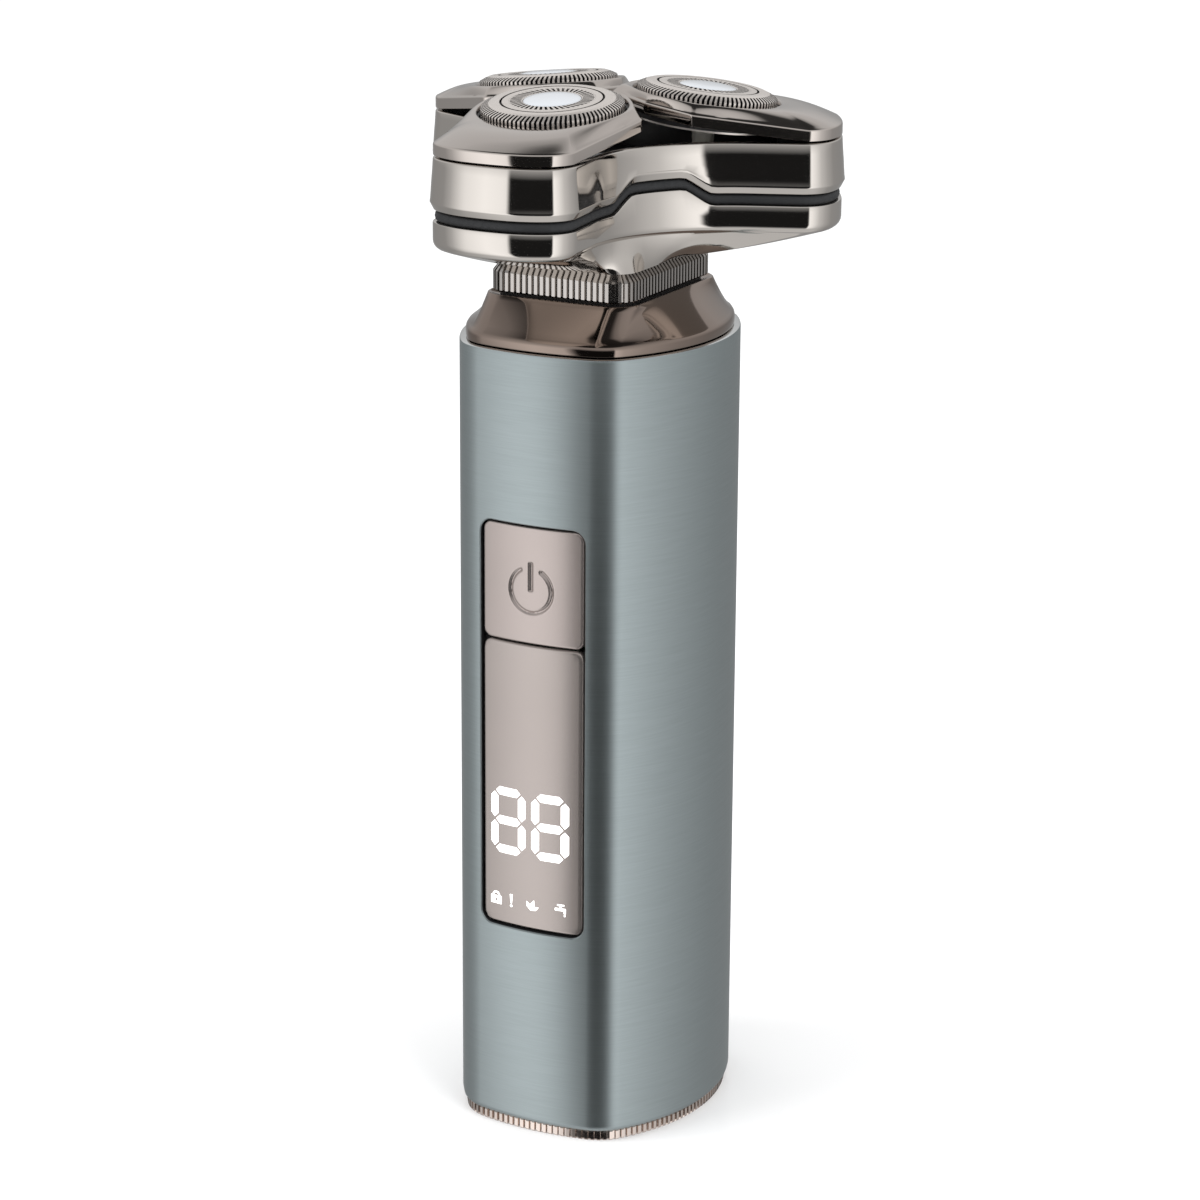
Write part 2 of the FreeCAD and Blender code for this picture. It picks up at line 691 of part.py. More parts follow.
def pod_edges(height):
    """The pod's outline as eleven edges, flat round the tip and rising inward from there."""
    *tip, leave, side, inner, apex = pod_corners()

    def raised(point):
        return point + Vector(0, 0, height + POD_RISE * max(0.0, leave.x - point.x))

    half = tip + [leave, (leave + side) / 2, side, (side + inner) / 2, inner, (inner + apex) / 2]
    points = half + [apex] + [flipped(p) for p in reversed(half)] + [polar(LOBE_TIP_RADIUS, 0)]
    points = [raised(p) for p in points]
    count = len(points)
    return [edge_through(points[k], points[k + 1], points[(k + 2) % count])
            for k in range(0, count, 2)]


def pod_floor(height):
    """The two flat faces inside the pod's outline: the tip's and the rising one."""
    edges = pod_edges(height)
    corner, rising, corner_back = edges[1], edges[2:8], edges[8]
    chord = Part.LineSegment(corner_back.Vertexes[0].Point, corner.Vertexes[-1].Point).toShape()
    round_tip = edges[8:] + edges[:2] + [chord]
    tip_face = Part.Face(Part.Wire(Part.__sortEdges__(round_tip)))
    return [tip_face, Part.Face(Part.Wire(Part.__sortEdges__(rising + [chord])))]


def ring_frame(shape):
    """Move a shape from the cutter ring's own frame to its place on the +X lobe."""
    copy = shape.copy()
    copy.rotate(Vector(0, 0, 0), Vector(0, 1, 0), RING_TILT)
    copy.translate(Vector(RING_ORBIT, 0, RING_HEIGHT))
    return copy


def recess_edges():
    """The round edge of the cutter's recess, split where the pod's creases meet it."""
    corners = pod_corners()
    centre = Vector(RING_ORBIT, 0, 0)
    turns = [math.degrees(math.atan2((p - centre).y, (p - centre).x))
             for p in (corners[k] for k in (0, 2, 4, 5, 6))]
    turns = turns + [180.0] + [360.0 - angle for angle in reversed(turns)]
    edges = []
    for k, start in enumerate(turns):
        end = turns[k + 1] if k + 1 < len(turns) else turns[0] + 360.0
        points = [polar(RING_RECESS, angle, -RING_RECESS_DEPTH) for angle in (start, (start + end) / 2, end)]
        edges.append(ring_frame(edge_through(*points)))
    return edges


def make_pod_shell():
    band = [face.extrude(Vector(0, 0, POD_BAND)) for face in pod_floor(POD_LOW)]
    crease = pod_edges(POD_LOW + POD_BAND)
    recess = recess_edges()
    slopes = [Part.makeRuledSurface(low, high) for low, high in zip(crease, recess)]
    faces = pod_floor(POD_LOW + POD_BAND) + slopes + [Part.Face(Part.Wire(recess))]
    skin = Part.makeShell(faces)
    skin.sewShape()
    tent = Part.makeSolid(skin)
    shell = band[0].fuse(band[1]).fuse(tent)
    shell = shell.cut(ring_frame(rod(RING_RADIUS + BORE_GAP, -12, 8)))
    leg = block((PIVOT_X - 0.9, PIVOT_X + 1.0), (-4.9, 4.9), (PIVOT_Z - 1.2, POD_LOW + 1.2))
    pin = rod_along_y(PIVOT_RADIUS, -LUG_HIGH_Y, LUG_HIGH_Y, PIVOT_X, PIVOT_Z)
    return shell.fuse(leg).fuse(pin)


def make_outer_cutter():
    top = RING_TOP_RISE
    profile = [(RING_RADIUS, -RING_SKIRT), (RING_RADIUS, 0), (RING_TOP_RADIUS, top),
               (CAP_RADIUS + 0.02, top), (CAP_RADIUS + 0.02, top - 0.4),
               (RING_TOP_RADIUS - 0.2, top - 0.4),
               (RING_RADIUS - 0.5, -0.2), (RING_RADIUS - 0.5, -RING_SKIRT)]
    return ring_frame(revolved(profile))


def make_cutter_cap():
    top = RING_TOP_RISE
    profile = [(0, top - 0.4), (CAP_RADIUS, top - 0.4), (CAP_RADIUS, top), (CAP_RADIUS - 0.4, top + 0.15),
               (1.5, top + 0.3), (0, top + 0.3)]
    return ring_frame(revolved(profile))


def make_inner_cutter():
    blade_top = RING_TOP_RISE - 0.5
    wheel = rod(8.2, -1.3, -0.7).fuse(rod(3.3, -5.4, -0.9))
    for k in range(BLADES):
        blade = block((5.0, 8.0), (-0.45, 0.45), (-0.8, blade_top))
        wheel = wheel.fuse(turned(blade, 360.0 * k / BLADES))
    socket = prism(6, 2.6, -6, -1.7)
    return ring_frame(wheel.cut(socket))


# --------------------------------------------------------------------- export

SINGLE_PIECES = {
    "handle_tube": make_handle_tube, "shoulder": make_shoulder, "neck_ring": make_neck_ring,
    "neck_socket": make_neck_socket, "latch_magnets": make_latch_magnets,
    "shaft_seal": make_shaft_seal, "base_ring": make_base_ring, "base_cap": make_base_cap,
    "base_gasket": make_base_gasket, "charge_socket": make_charge_socket,
    "charge_pins": make_charge_pins, "chassis": make_chassis, "chassis_cover": make_chassis_cover,
    "battery_cell": make_battery_cell, "battery_tabs": make_battery_tabs,
    "main_board": make_main_board, "board_chips": make_board_chips,
    "tact_switch": make_tact_switch, "display_module": make_display_module,
    "display_lens": make_display_lens, "panel_carrier": make_panel_carrier,
    "power_button": make_power_button, "motor_can": make_motor_can,
    "motor_mount": make_motor_mount, "motor_screws": make_motor_screws,
    "motor_shaft": make_motor_shaft, "drive_dog": make_drive_dog,
    "lower_shell": make_lower_shell, "seam_seal": make_seam_seal,
    "latch_plate": make_latch_plate, "gear_axles": make_gear_axles,
    "gear_cover": make_gear_cover, "cover_screws": lambda: three_fold(make_cover_screw),
    "sun_gear": make_sun_gear, "upper_frame": make_upper_frame,
    "retainer_plate": make_retainer_plate, "retainer_knob": make_retainer_knob,
}

LOBE_PIECES = {
    "pod_shell": make_pod_shell, "outer_cutter": make_outer_cutter,
    "cutter_cap": make_cutter_cap, "inner_cutter": make_inner_cutter,
    "drive_spindle": make_drive_spindle, "spindle_spring": make_spindle_spring,
}


def save(name, made):
    shape = Part.makeCompound(made) if isinstance(made, list) else made
    solids = shape.Solids
    volume = sum(solid.Volume for solid in solids)
    print(f"{name:20s} {len(solids)} solid(s) {volume:10.2f} mm3 valid {shape.isValid()}")
    if len(solids) == 1:
        shape = solids[0]
    shape.exportStep(f"parts/{name}.step")


def main():
    os.makedirs("parts", exist_ok=True)
    for name, make in SINGLE_PIECES.items():
        save(name, make())
    for number, angle in enumerate(LOBE_ANGLES, start=1):
        for name, make in LOBE_PIECES.items():
            save(f"{name}_{number}", turned(make(), angle))
        save(f"drive_gear_{number}", make_drive_gear(angle))


main()
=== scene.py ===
import json
import math

import bpy
import numpy as np
from mathutils import Matrix, Vector


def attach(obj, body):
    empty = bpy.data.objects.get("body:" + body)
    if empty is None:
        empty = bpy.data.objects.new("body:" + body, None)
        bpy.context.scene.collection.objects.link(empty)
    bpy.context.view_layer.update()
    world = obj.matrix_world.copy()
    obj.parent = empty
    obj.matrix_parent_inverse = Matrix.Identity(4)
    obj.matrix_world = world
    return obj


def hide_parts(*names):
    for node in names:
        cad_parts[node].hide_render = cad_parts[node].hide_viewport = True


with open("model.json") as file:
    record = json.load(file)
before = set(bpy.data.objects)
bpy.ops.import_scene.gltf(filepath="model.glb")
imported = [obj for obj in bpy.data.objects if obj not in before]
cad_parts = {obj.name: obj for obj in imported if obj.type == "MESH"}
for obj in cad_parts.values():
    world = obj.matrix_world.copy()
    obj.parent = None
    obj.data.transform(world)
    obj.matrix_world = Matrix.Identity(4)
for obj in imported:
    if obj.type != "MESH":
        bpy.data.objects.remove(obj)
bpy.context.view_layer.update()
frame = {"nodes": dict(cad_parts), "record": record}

MM = 0.001

# ---- dimensions, in millimetres
# Handle
HANDLE_HALF_X = 19.2
HANDLE_HALF_Y = 21.55
SIDE_BOW_RADIUS = 29.8
FRONT_BOW_RADIUS = 41.1
HANDLE_CORNER = 7.6
TUBE_LOW = 1.5
TUBE_TOP = 118.8
TUBE_WALL = 1.3
WINDOW_HALF = 8.55
WINDOW_LOW = 32.05
WINDOW_TOP = 93.9
WINDOW_CORNER = 2.0
PANEL_GAP = 0.32
PANEL_RECESS = 0.4
PANEL_CORNER = 1.3
PANEL_THICKNESS = 0.9
PANEL_EDGE = 0.28               # width of the rounded edge of the button and lens
PANEL_EDGE_DROP = 0.24
BUTTON_LOW = 76.2
SYMBOL_Z = 84.2
# Display marks
DIGIT_LOW = 43.4
DIGIT_HEIGHT = 10.2
DIGIT_WIDTH = 6.0
SEGMENT = 1.25
PICTOGRAM_Z = 36.0
# Shoulder and neck
SHOULDER_LOW = 118.9
SHOULDER_LIP = 120.6
SHOULDER_TOP = 125.3
NECK_HALF_X = 11.3
NECK_HALF_Y = 14.3
NECK_CORNER = 3.2
NECK_LOW = 125.6
NECK_TOP = 129.6
RIB_PITCH = 0.95
RIB_STEPS = 50                  # points per rib before the rib's own four are picked
# Head
LOBE_ANGLES = (-90.0, 30.0, 150.0)
TIP_RADIUS = 34.3
TIP_HALF_ANGLE = 5.0
LOBE_CHEEK = 12.0
LOBE_CHEEK_END = 34.0
LOBE_CORNER = 5.0
LOBE_SIDE_ANGLE = 97.5
WAIST_RADIUS = 21.0
HEAD_WALL = 1.4
HEAD_LOW = 129.8
HEAD_FLOOR = 135.2
SPIGOT_LOW = 126.9
SPIGOT_INSET = 3.2              # from the neck's outline
HUB_INSET = 5.0
BELLY_TOP = 134.5
BELLY_FILLET = 1.7
SEAL_LOW = 138.4
FRAME_LOW = 140.0
FRAME_RIDGE = 141.1
FRAME_TOP = 147.3
NOTCH_RISE = 2.4
NOTCH_FLAT = 9.0
NOTCH_BASE = 16.0
# Pods and cutters
POD_LOW = 147.55
POD_BAND = 1.75
POD_RISE = 0.147
POD_SIDE_CORNER = (12.1, 12.7)
POD_INNER_CORNER = (5.6, 7.4)
POD_APEX = 1.3
RING_ORBIT = 14.97
RING_HEIGHT = 153.2
RING_TILT = 6.5
RING_RADIUS = 10.1
RING_RECESS = 10.8
RING_TOP = 0.75
CAP_RADIUS = 4.2
EDGE_SLOTS = 90
COMB_SLOTS = 46
PLAIN, SLOTTED, GROOVED = 0, 1, 2   # kinds of row in a cutter's profile


# ---- materials

def set_inputs(node, values):
    """Set sockets of a node by name, with _ for a space."""
    for socket, value in values.items():
        node.inputs[socket.replace("_", " ")].default_value = value


def add_node(material, kind, **values):
    node = material.node_tree.nodes.new("ShaderNode" + kind)
    set_inputs(node, values)
    return node


def link(material, output, socket):
    material.node_tree.links.new(output, socket)


def shader_of(material):
    return material.node_tree.nodes["Principled BSDF"]


def new_material(name, color, **values):
    """A principled material."""
    material = bpy.data.materials.new(name)
    material.use_nodes = True
    set_inputs(shader_of(material), {"Base_Color": (*color, 1.0), **values})
    return material


def noise_field(material, stretch, detail=3.0, rough=0.55):
    """Noise over the object's own coordinates, stretched by (x, y, z) cycles per metre."""
    place = add_node(material, "TexCoord")
    scale = add_node(material, "Mapping", Scale=stretch)
    noise = add_node(material, "TexNoise", Scale=1.0, Detail=detail, Roughness=rough)
    link(material, place.outputs["Object"], scale.inputs["Vector"])
    link(material, scale.outputs["Vector"], noise.inputs["Vector"])
    return noise.outputs["Fac"]


def spread(material, field, low, high, socket):
    """Drive one shader socket from low to high with a noise field."""
    span = add_node(material, "MapRange", From_Min=0.3, From_Max=0.7, To_Min=low, To_Max=high)
    link(material, field, span.inputs["Value"])
    link(material, span.outputs["Result"], shader_of(material).inputs[socket])


def tint(material, field, color, share):
    """Vary the base colour by a share, darker and lighter, with a noise field."""
    ramp = add_node(material, "ValToRGB")
    for stop, position, factor in zip(ramp.color_ramp.elements, (0.3, 0.7), (1 - share, 1 + share)):
        stop.position = position
        stop.color = (*(min(1.0, c * factor) for c in color), 1.0)
    link(material, field, ramp.inputs["Fac"])
    link(material, ramp.outputs["Color"], shader_of(material).inputs["Base Color"])


def bump(material, field, strength, distance):
    relief = add_node(material, "Bump", Strength=strength, Distance=distance)
    link(material, field, relief.inputs["Height"])
    link(material, relief.outputs["Normal"], shader_of(material).inputs["Normal"])


def brushed_tube_metal():
    """Anodised metal, brushed round the handle."""
    color = (0.365, 0.415, 0.425)
    material = new_material("tube_metal", color, Metallic=1.0, Roughness=0.37)
    streaks = noise_field(material, (60, 60, 7000), detail=4.0, rough=0.65)
    spread(material, streaks, 0.34, 0.40, "Roughness")
    tint(material, noise_field(material, (150, 150, 6000), detail=2.0), color, 0.04)
    bump(material, streaks, 0.06, 0.00004)
    return material


def polished_metal(name, color, roughness, metallic=1.0):
    """Plated metal with a faint haze that wanders over the surface."""
    material = new_material(name, color, Metallic=metallic, Roughness=roughness)
    haze = noise_field(material, (90, 90, 90), detail=5.0)
    spread(material, haze, roughness * 0.8, roughness * 1.3, "Roughness")
    tint(material, noise_field(material, (25, 25, 25), detail=2.0), color, 0.04)
    bump(material, noise_field(material, (900, 900, 900), detail=2.0), 0.02, 0.00002)
    return material


def moulded(name, color, roughness, grain=2500.0, relief=0.12, **values):
    """Plastic or rubber with a fine moulded grain; the same recipe makes the near-black painted shade in
    slots and grooves.
    """
    material = new_material(name, color, Roughness=roughness, **values)
    field = noise_field(material, (grain, grain, grain), detail=2.0)
    spread(material, field, roughness * 0.85, min(1.0, roughness * 1.15), "Roughness")
    tint(material, noise_field(material, (60, 60, 60)), color, 0.08)
    bump(material, field, relief, 0.00004)
    return material


def satin_lacquer(name, color):
    """Metallic lacquer under a thin clear coat."""
    material = new_material(name, color, Metallic=0.85, Roughness=0.24, Coat_Weight=0.3,
                            Coat_Roughness=0.06)
    flakes = noise_field(material, (9000, 9000, 9000), detail=1.0)
    spread(material, flakes, 0.22, 0.27, "Roughness")
    tint(material, noise_field(material, (40, 40, 40)), color, 0.03)
    bump(material, flakes, 0.05, 0.00001)
    return material


def glowing(name, color, strength):
    """Lit display marks, a little uneven as back-lit marks are."""
    material = new_material(name, (0.9, 0.9, 0.9), Roughness=0.5, Emission_Color=(*color, 1.0))
    spread(material, noise_field(material, (400, 400, 400)), strength * 0.92, strength * 1.08,
           "Emission Strength")
    return material


TUBE = brushed_tube_metal()
HEAD = polished_metal("head_metal", (0.585, 0.55, 0.515), 0.07)
POD = polished_metal("pod_metal", (0.57, 0.52, 0.485), 0.09)
# The same plated metal as the head, with its base colour darkened: painted shade for the shadow the head
# casts on the shoulder.
SHOULDER_PAINTED_SHADE = polished_metal("shoulder_metal", (0.27, 0.215, 0.185), 0.07)
RIBS = polished_metal("ring_metal", (0.44, 0.415, 0.395), 0.16)
BASE_RIBS = polished_metal("base_ring_metal", (0.66, 0.57, 0.52), 0.16)
LIP = polished_metal("tube_lip_metal", (0.72, 0.74, 0.74), 0.12)
STEEL = polished_metal("cutter_steel", (0.74, 0.69, 0.65), 0.33, metallic=0.75)
# Near-black painted shade for the floors of the cutters' slots and grooves and the step under the ribbed
# collar, where the recesses lie in shadow.
PAINTED_SLOT_SHADE = moulded("painted_slot_shade", (0.012, 0.011, 0.011), 0.6)
CAP = moulded("cap_white", (0.56, 0.585, 0.62), 0.18, relief=0.02, Coat_Weight=0.4)
BUTTON = satin_lacquer("button_satin", (0.42, 0.365, 0.345))
LENS = satin_lacquer("lens_satin", (0.39, 0.345, 0.325))
GLOW = glowing("display_glow", (1.0, 0.99, 0.97), 1.6)
BLACK = moulded("black_plastic", (0.012, 0.012, 0.013), 0.42)
RUBBER = moulded("black_rubber", (0.016, 0.017, 0.019), 0.6, grain=1500.0, relief=0.2)
GREY = moulded("grey_plastic", (0.30, 0.31, 0.32), 0.5)
ACETAL = moulded("gear_plastic", (0.74, 0.71, 0.64), 0.4)
BOARD = moulded("board_green", (0.03, 0.16, 0.07), 0.3, Coat_Weight=0.5)
CHIP = moulded("chip_black", (0.015, 0.015, 0.016), 0.45)
WRAP = moulded("battery_wrap", (0.06, 0.16, 0.40), 0.28, Coat_Weight=0.5)
ZINC = polished_metal("plated_steel", (0.62, 0.62, 0.61), 0.25)
BRASS = polished_metal("brass_pins", (0.72, 0.54, 0.28), 0.2)

NODE_MATERIALS = {
    "tube_metal": TUBE, "shoulder_metal": SHOULDER_PAINTED_SHADE, "ring_metal": RIBS, "head_metal": HEAD,
    "pod_metal": POD, "cutter_steel": STEEL, "cap_white": CAP, "button_satin": BUTTON,
    "lens_satin": LENS, "black_plastic": BLACK, "black_rubber": RUBBER, "grey_plastic": GREY,
    "gear_plastic": ACETAL, "board_green": BOARD, "chip_black": CHIP, "battery_wrap": WRAP,
    "plated_steel": ZINC, "brass_pins": BRASS,
}


def dress_cad_nodes():
    """Give every CAD node the material of its slot in the record."""
    for part in frame["record"]["subparts"]:
        node = frame["nodes"][part["node"]]
        node.data.materials.clear()
        node.data.materials.append(NODE_MATERIALS[part["material_slot"]])


# ---- mesh building

def place_mesh(name, points, faces, materials=()):
    """A new object in the scene, from points in metres."""
    mesh = bpy.data.meshes.new(name)
    mesh.from_pydata(np.asarray(points, float).tolist(), [], faces)
    for material in materials:
        mesh.materials.append(material)
    piece = bpy.data.objects.new(name, mesh)
    bpy.context.scene.collection.objects.link(piece)
    return piece


def build(name, points, faces, materials, body, nodes=(), sharp=35.0, face_material=None):
    """A smooth-shaded piece from points in millimetres, riding on a body in place of CAD nodes."""
    piece = place_mesh(name, np.asarray(points, float) * MM, faces, materials)
    mesh = piece.data
    mesh.validate()
    mesh.polygons.foreach_set("use_smooth", [True] * len(mesh.polygons))
    if face_material is not None:
        mesh.polygons.foreach_set("material_index", face_material)
    mesh.set_sharp_from_angle(angle=math.radians(sharp))
    mesh.update()
    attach(piece, body)
    if nodes:
        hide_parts(*nodes)
    return piece


def ring_faces(rows, count, closed=False):
    """Quads between rows of count points; closed also joins the last row to the first."""
    faces = []
    for row in range(rows if closed else rows - 1):
        low, high = row * count, ((row + 1) % rows) * count
        for k in range(count):
            after = (k + 1) % count
            faces.append((low + k, low + after, high + after, high + k))
    return faces


def shell_from_rings(name, rings, materials, body, nodes=(), closed=True, sharp=35.0,
                     row_material=None):
    """A shell through rings of equal length; closed shells run back to their first ring."""
    count = len(rings[0])
    faces = ring_faces(len(rings), count, closed)
    if not closed:
        faces.append(tuple(reversed(range(count))))
        faces.append(tuple(range((len(rings) - 1) * count, len(rings) * count)))
    chosen = None
    if row_material:
        chosen = [row_material.get(k // count, 0) for k in range(len(faces))]
    return build(name, np.vstack(rings), faces, materials, body, nodes, sharp, chosen)


def at_height(plan, z):
    """Points of a plan at one height, or at a height for each point."""
    return np.column_stack([plan, np.broadcast_to(z, len(plan))])


def unit(degrees):
    angle = np.radians(degrees)
    return np.stack([np.cos(angle), np.sin(angle)], axis=-1)


def turned(points, degrees):
    """Points turned about the vertical axis."""
    c, s = math.cos(math.radians(degrees)), math.sin(math.radians(degrees))
    points = np.asarray(points, float)
    moved = points.copy()
    moved[:, 0] = points[:, 0] * c - points[:, 1] * s
    moved[:, 1] = points[:, 0] * s + points[:, 1] * c
    return moved


# ---- handle outline

def handle_arcs():
    """Centres, radii and limits of the side, corner and front arcs in the first quadrant."""
    side_centre = np.array([HANDLE_HALF_X - SIDE_BOW_RADIUS, 0.0])
    front_centre = np.array([0.0, HANDLE_HALF_Y - FRONT_BOW_RADIUS])
    reach_side = SIDE_BOW_RADIUS - HANDLE_CORNER
    reach_front = FRONT_BOW_RADIUS - HANDLE_CORNER
    base = front_centre - side_centre
    length = np.hypot(*base)
    along = (reach_side ** 2 - reach_front ** 2 + length ** 2) / (2 * length)
    across = math.sqrt(reach_side ** 2 - along ** 2)
    step = base / length
    corner = side_centre + step * along + np.array([-step[1], step[0]]) * across
    low = math.degrees(math.atan2(*(corner - side_centre)[::-1]))
    high = math.degrees(math.atan2(*(corner - front_centre)[::-1]))
    return side_centre, front_centre, corner, low, high


SIDE_CENTRE, FRONT_CENTRE, CORNER_CENTRE, CORNER_START, CORNER_END = handle_arcs()


def quadrant_directions(side_steps=26, corner_steps=20, front_steps=22):
    """Outward directions, in degrees, of the outline's points in the first quadrant."""
    side = np.linspace(0, CORNER_START, side_steps, endpoint=False)
    corner = np.linspace(CORNER_START, CORNER_END, corner_steps, endpoint=False)
    front = np.linspace(CORNER_END, 90, front_steps + 1)
    return np.concatenate([side, corner, front])


def four_quadrants(quadrant):
    """Mirror first-quadrant points, from +X to +Y, into a whole outline."""
    flip_x = quadrant[::-1] * [-1, 1]
    whole = [quadrant, flip_x[1:], (quadrant * -1)[1:], (quadrant[::-1] * [1, -1])[1:-1]]
    return np.vstack(whole)


def handle_plan(offset=0.0):
    """The handle's outline, moved outward by offset."""
    directions = quadrant_directions()
    points = []
    for degrees in directions:
        if degrees < CORNER_START:
            centre, radius = SIDE_CENTRE, SIDE_BOW_RADIUS
        elif degrees < CORNER_END:
            centre, radius = CORNER_CENTRE, HANDLE_CORNER
        else:
            centre, radius = FRONT_CENTRE, FRONT_BOW_RADIUS
        points.append(centre + unit(degrees) * (radius + offset))
    return four_quadrants(np.array(points))


def neck_plan(offset=0.0):
    """The neck's rounded rectangle, with points that pair with the handle's outline."""
    corner = NECK_CORNER + offset
    centre = np.array([NECK_HALF_X - NECK_CORNER, NECK_HALF_Y - NECK_CORNER])
    points = []
    for degrees in quadrant_directions():
        if degrees < CORNER_START:
            share = degrees / CORNER_START
            points.append([NECK_HALF_X + offset, centre[1] * share])
        elif degrees < CORNER_END:
            share = (degrees - CORNER_START) / (CORNER_END - CORNER_START)
            points.append(centre + unit(90 * share) * corner)
        else:
            share = (90 - degrees) / (90 - CORNER_END)
            points.append([centre[0] * share, NECK_HALF_Y + offset])
    return four_quadrants(np.array(points, float))


def outward_directions(points):
    """Unit directions out of a closed outline, at each of its points."""
    along = np.roll(points, -1, axis=0) - np.roll(points, 1, axis=0)
    outward = np.column_stack([along[:, 1], -along[:, 0]])
    return outward / np.hypot(*outward.T)[:, None]


def ribbed_rings(plan, profile, depth, land=0.58, flank=0.06):
    """Rings of a collar with upright ribs; land and flank are shares of a rib's pitch.

    profile holds rows of (offset, height, ribbed). A row without ribs lies at the grooves' depth.
    """
    closed = np.vstack([plan, plan[:1]])
    steps = np.hypot(*np.diff(closed, axis=0).T)
    ribs = int(steps.sum() / RIB_PITCH)
    reach = np.concatenate([[0], np.cumsum(steps)])
    wanted = np.linspace(0, reach[-1], ribs * RIB_STEPS, endpoint=False)
    fine = np.column_stack([np.interp(wanted, reach, closed[:, k]) for k in (0, 1)])
    cuts = np.array([0.0, flank, land, land + flank])
    pick = np.round((np.arange(ribs)[:, None] + cuts[None, :]).ravel() * RIB_STEPS).astype(int) % len(fine)
    points, normal = fine[pick], outward_directions(fine)[pick]
    inset = np.tile([depth, 0.0, 0.0, depth], ribs)
    rings = []
    for offset, height, ribbed in profile:
        shift = offset - (inset if ribbed else np.full(len(inset), depth))
        rings.append(at_height(points + normal * shift[:, None], height))
    return rings


# ---- handle

def front_y(x, depth=0.0):
    """The handle's front surface at x, pushed in by depth along its normal."""
    radius = FRONT_BOW_RADIUS - depth
    return -(FRONT_CENTRE[1] + np.sqrt(radius ** 2 - np.asarray(x, float) ** 2))


def rounded_rectangle(half_x, half_z, corner, per_corner=8, per_side=20):
    """Points round a rounded rectangle, counter-clockwise from the middle of the right side."""
    points = []
    inner_x, inner_z = half_x - corner, half_z - corner
    sides = [(0, inner_x, inner_z), (90, -inner_x, inner_z), (180, -inner_x, -inner_z),
             (270, inner_x, -inner_z)]
    for start, cx, cz in sides:
        for k in range(per_corner):
            direction = unit(start + 90.0 * k / (per_corner - 1))
            points.append([cx + corner * direction[0], cz + corner * direction[1]])
        following = sides[(start // 90 + 1) % 4]
        begin = np.array(points[-1])
        leave = unit(following[0])
        end = np.array([following[1] + corner * leave[0], following[2] + corner * leave[1]])
        for k in range(1, per_side):
            points.append(begin + (end - begin) * k / per_side)
    return np.array(points)


WINDOW_MIDDLE = (WINDOW_LOW + WINDOW_TOP) / 2


def window_cutter():
    """Rings of the solid that cuts the panel window, with a small chamfer that follows the bow."""
    hole = rounded_rectangle(WINDOW_HALF, (WINDOW_TOP - WINDOW_LOW) / 2, WINDOW_CORNER)
    outward = outward_directions(hole)
    before_face, behind_wall, flare = -25.0, -16.5, 0.66
    rings = []
    for grow, depth in ((flare, None), (flare, -0.5), (0.0, 0.16), (0.0, 0.6), (0.0, None)):
        plan = hole + outward * grow
        flat = before_face if grow else behind_wall
        y = np.full(len(plan), flat) if depth is None else front_y(plan[:, 0], depth)
        rings.append(np.column_stack([plan[:, 0], y, plan[:, 1] + WINDOW_MIDDLE]))
    return rings


def carve(piece, rings, sharp):
    """Cut a piece with the solid that runs through the rings, and keep the result."""
    count = len(rings[0])
    faces = [tuple(reversed(face)) for face in ring_faces(len(rings), count)]
    faces.append(tuple(range(count)))
    faces.append(tuple(reversed(range((len(rings) - 1) * count, len(rings) * count))))
    cutter = place_mesh("window_cutter", np.vstack(rings) * MM, faces)
    cut = piece.modifiers.new("window", "BOOLEAN")
    cut.operation = "DIFFERENCE"
    cut.solver = "EXACT"
    cut.object = cutter
    carved = bpy.data.meshes.new_from_object(piece.evaluated_get(bpy.context.evaluated_depsgraph_get()))
    piece.modifiers.clear()
    piece.data = carved
    bpy.data.objects.remove(cutter)
    carved.set_sharp_from_angle(angle=math.radians(sharp))


def handle_tube():
    """The brushed sleeve: a smooth wall, a rounded lip at each end, the top one bright, and the panel window.
    """
    rows = [(-0.75, TUBE_LOW), (-0.35, TUBE_LOW + 0.18), (-0.1, TUBE_LOW + 0.5), (0.0, TUBE_LOW + 1.0),
            (0.0, TUBE_TOP - 0.35), (-0.08, TUBE_TOP - 0.1), (-0.3, TUBE_TOP), (-TUBE_WALL, TUBE_TOP),
            (-TUBE_WALL, TUBE_LOW)]
    rings = [at_height(handle_plan(offset), height) for offset, height in rows]
    sleeve = shell_from_rings("handle_sleeve", rings, [TUBE, LIP, BLACK], "handle",
                              ["handle_tube"], sharp=40.0, row_material={5: 1, 6: 1})
    carve(sleeve, window_cutter(), 40.0)
    for face in sleeve.data.polygons:
        x, y, z = face.center / MM
        inside = abs(x) < WINDOW_HALF + 0.05 and WINDOW_LOW - 0.1 < z < WINDOW_TOP + 0.1
        if inside and y < 0 and y > front_y(x, 0.3) and abs(face.normal.y) < 0.3:
            face.material_index = 2


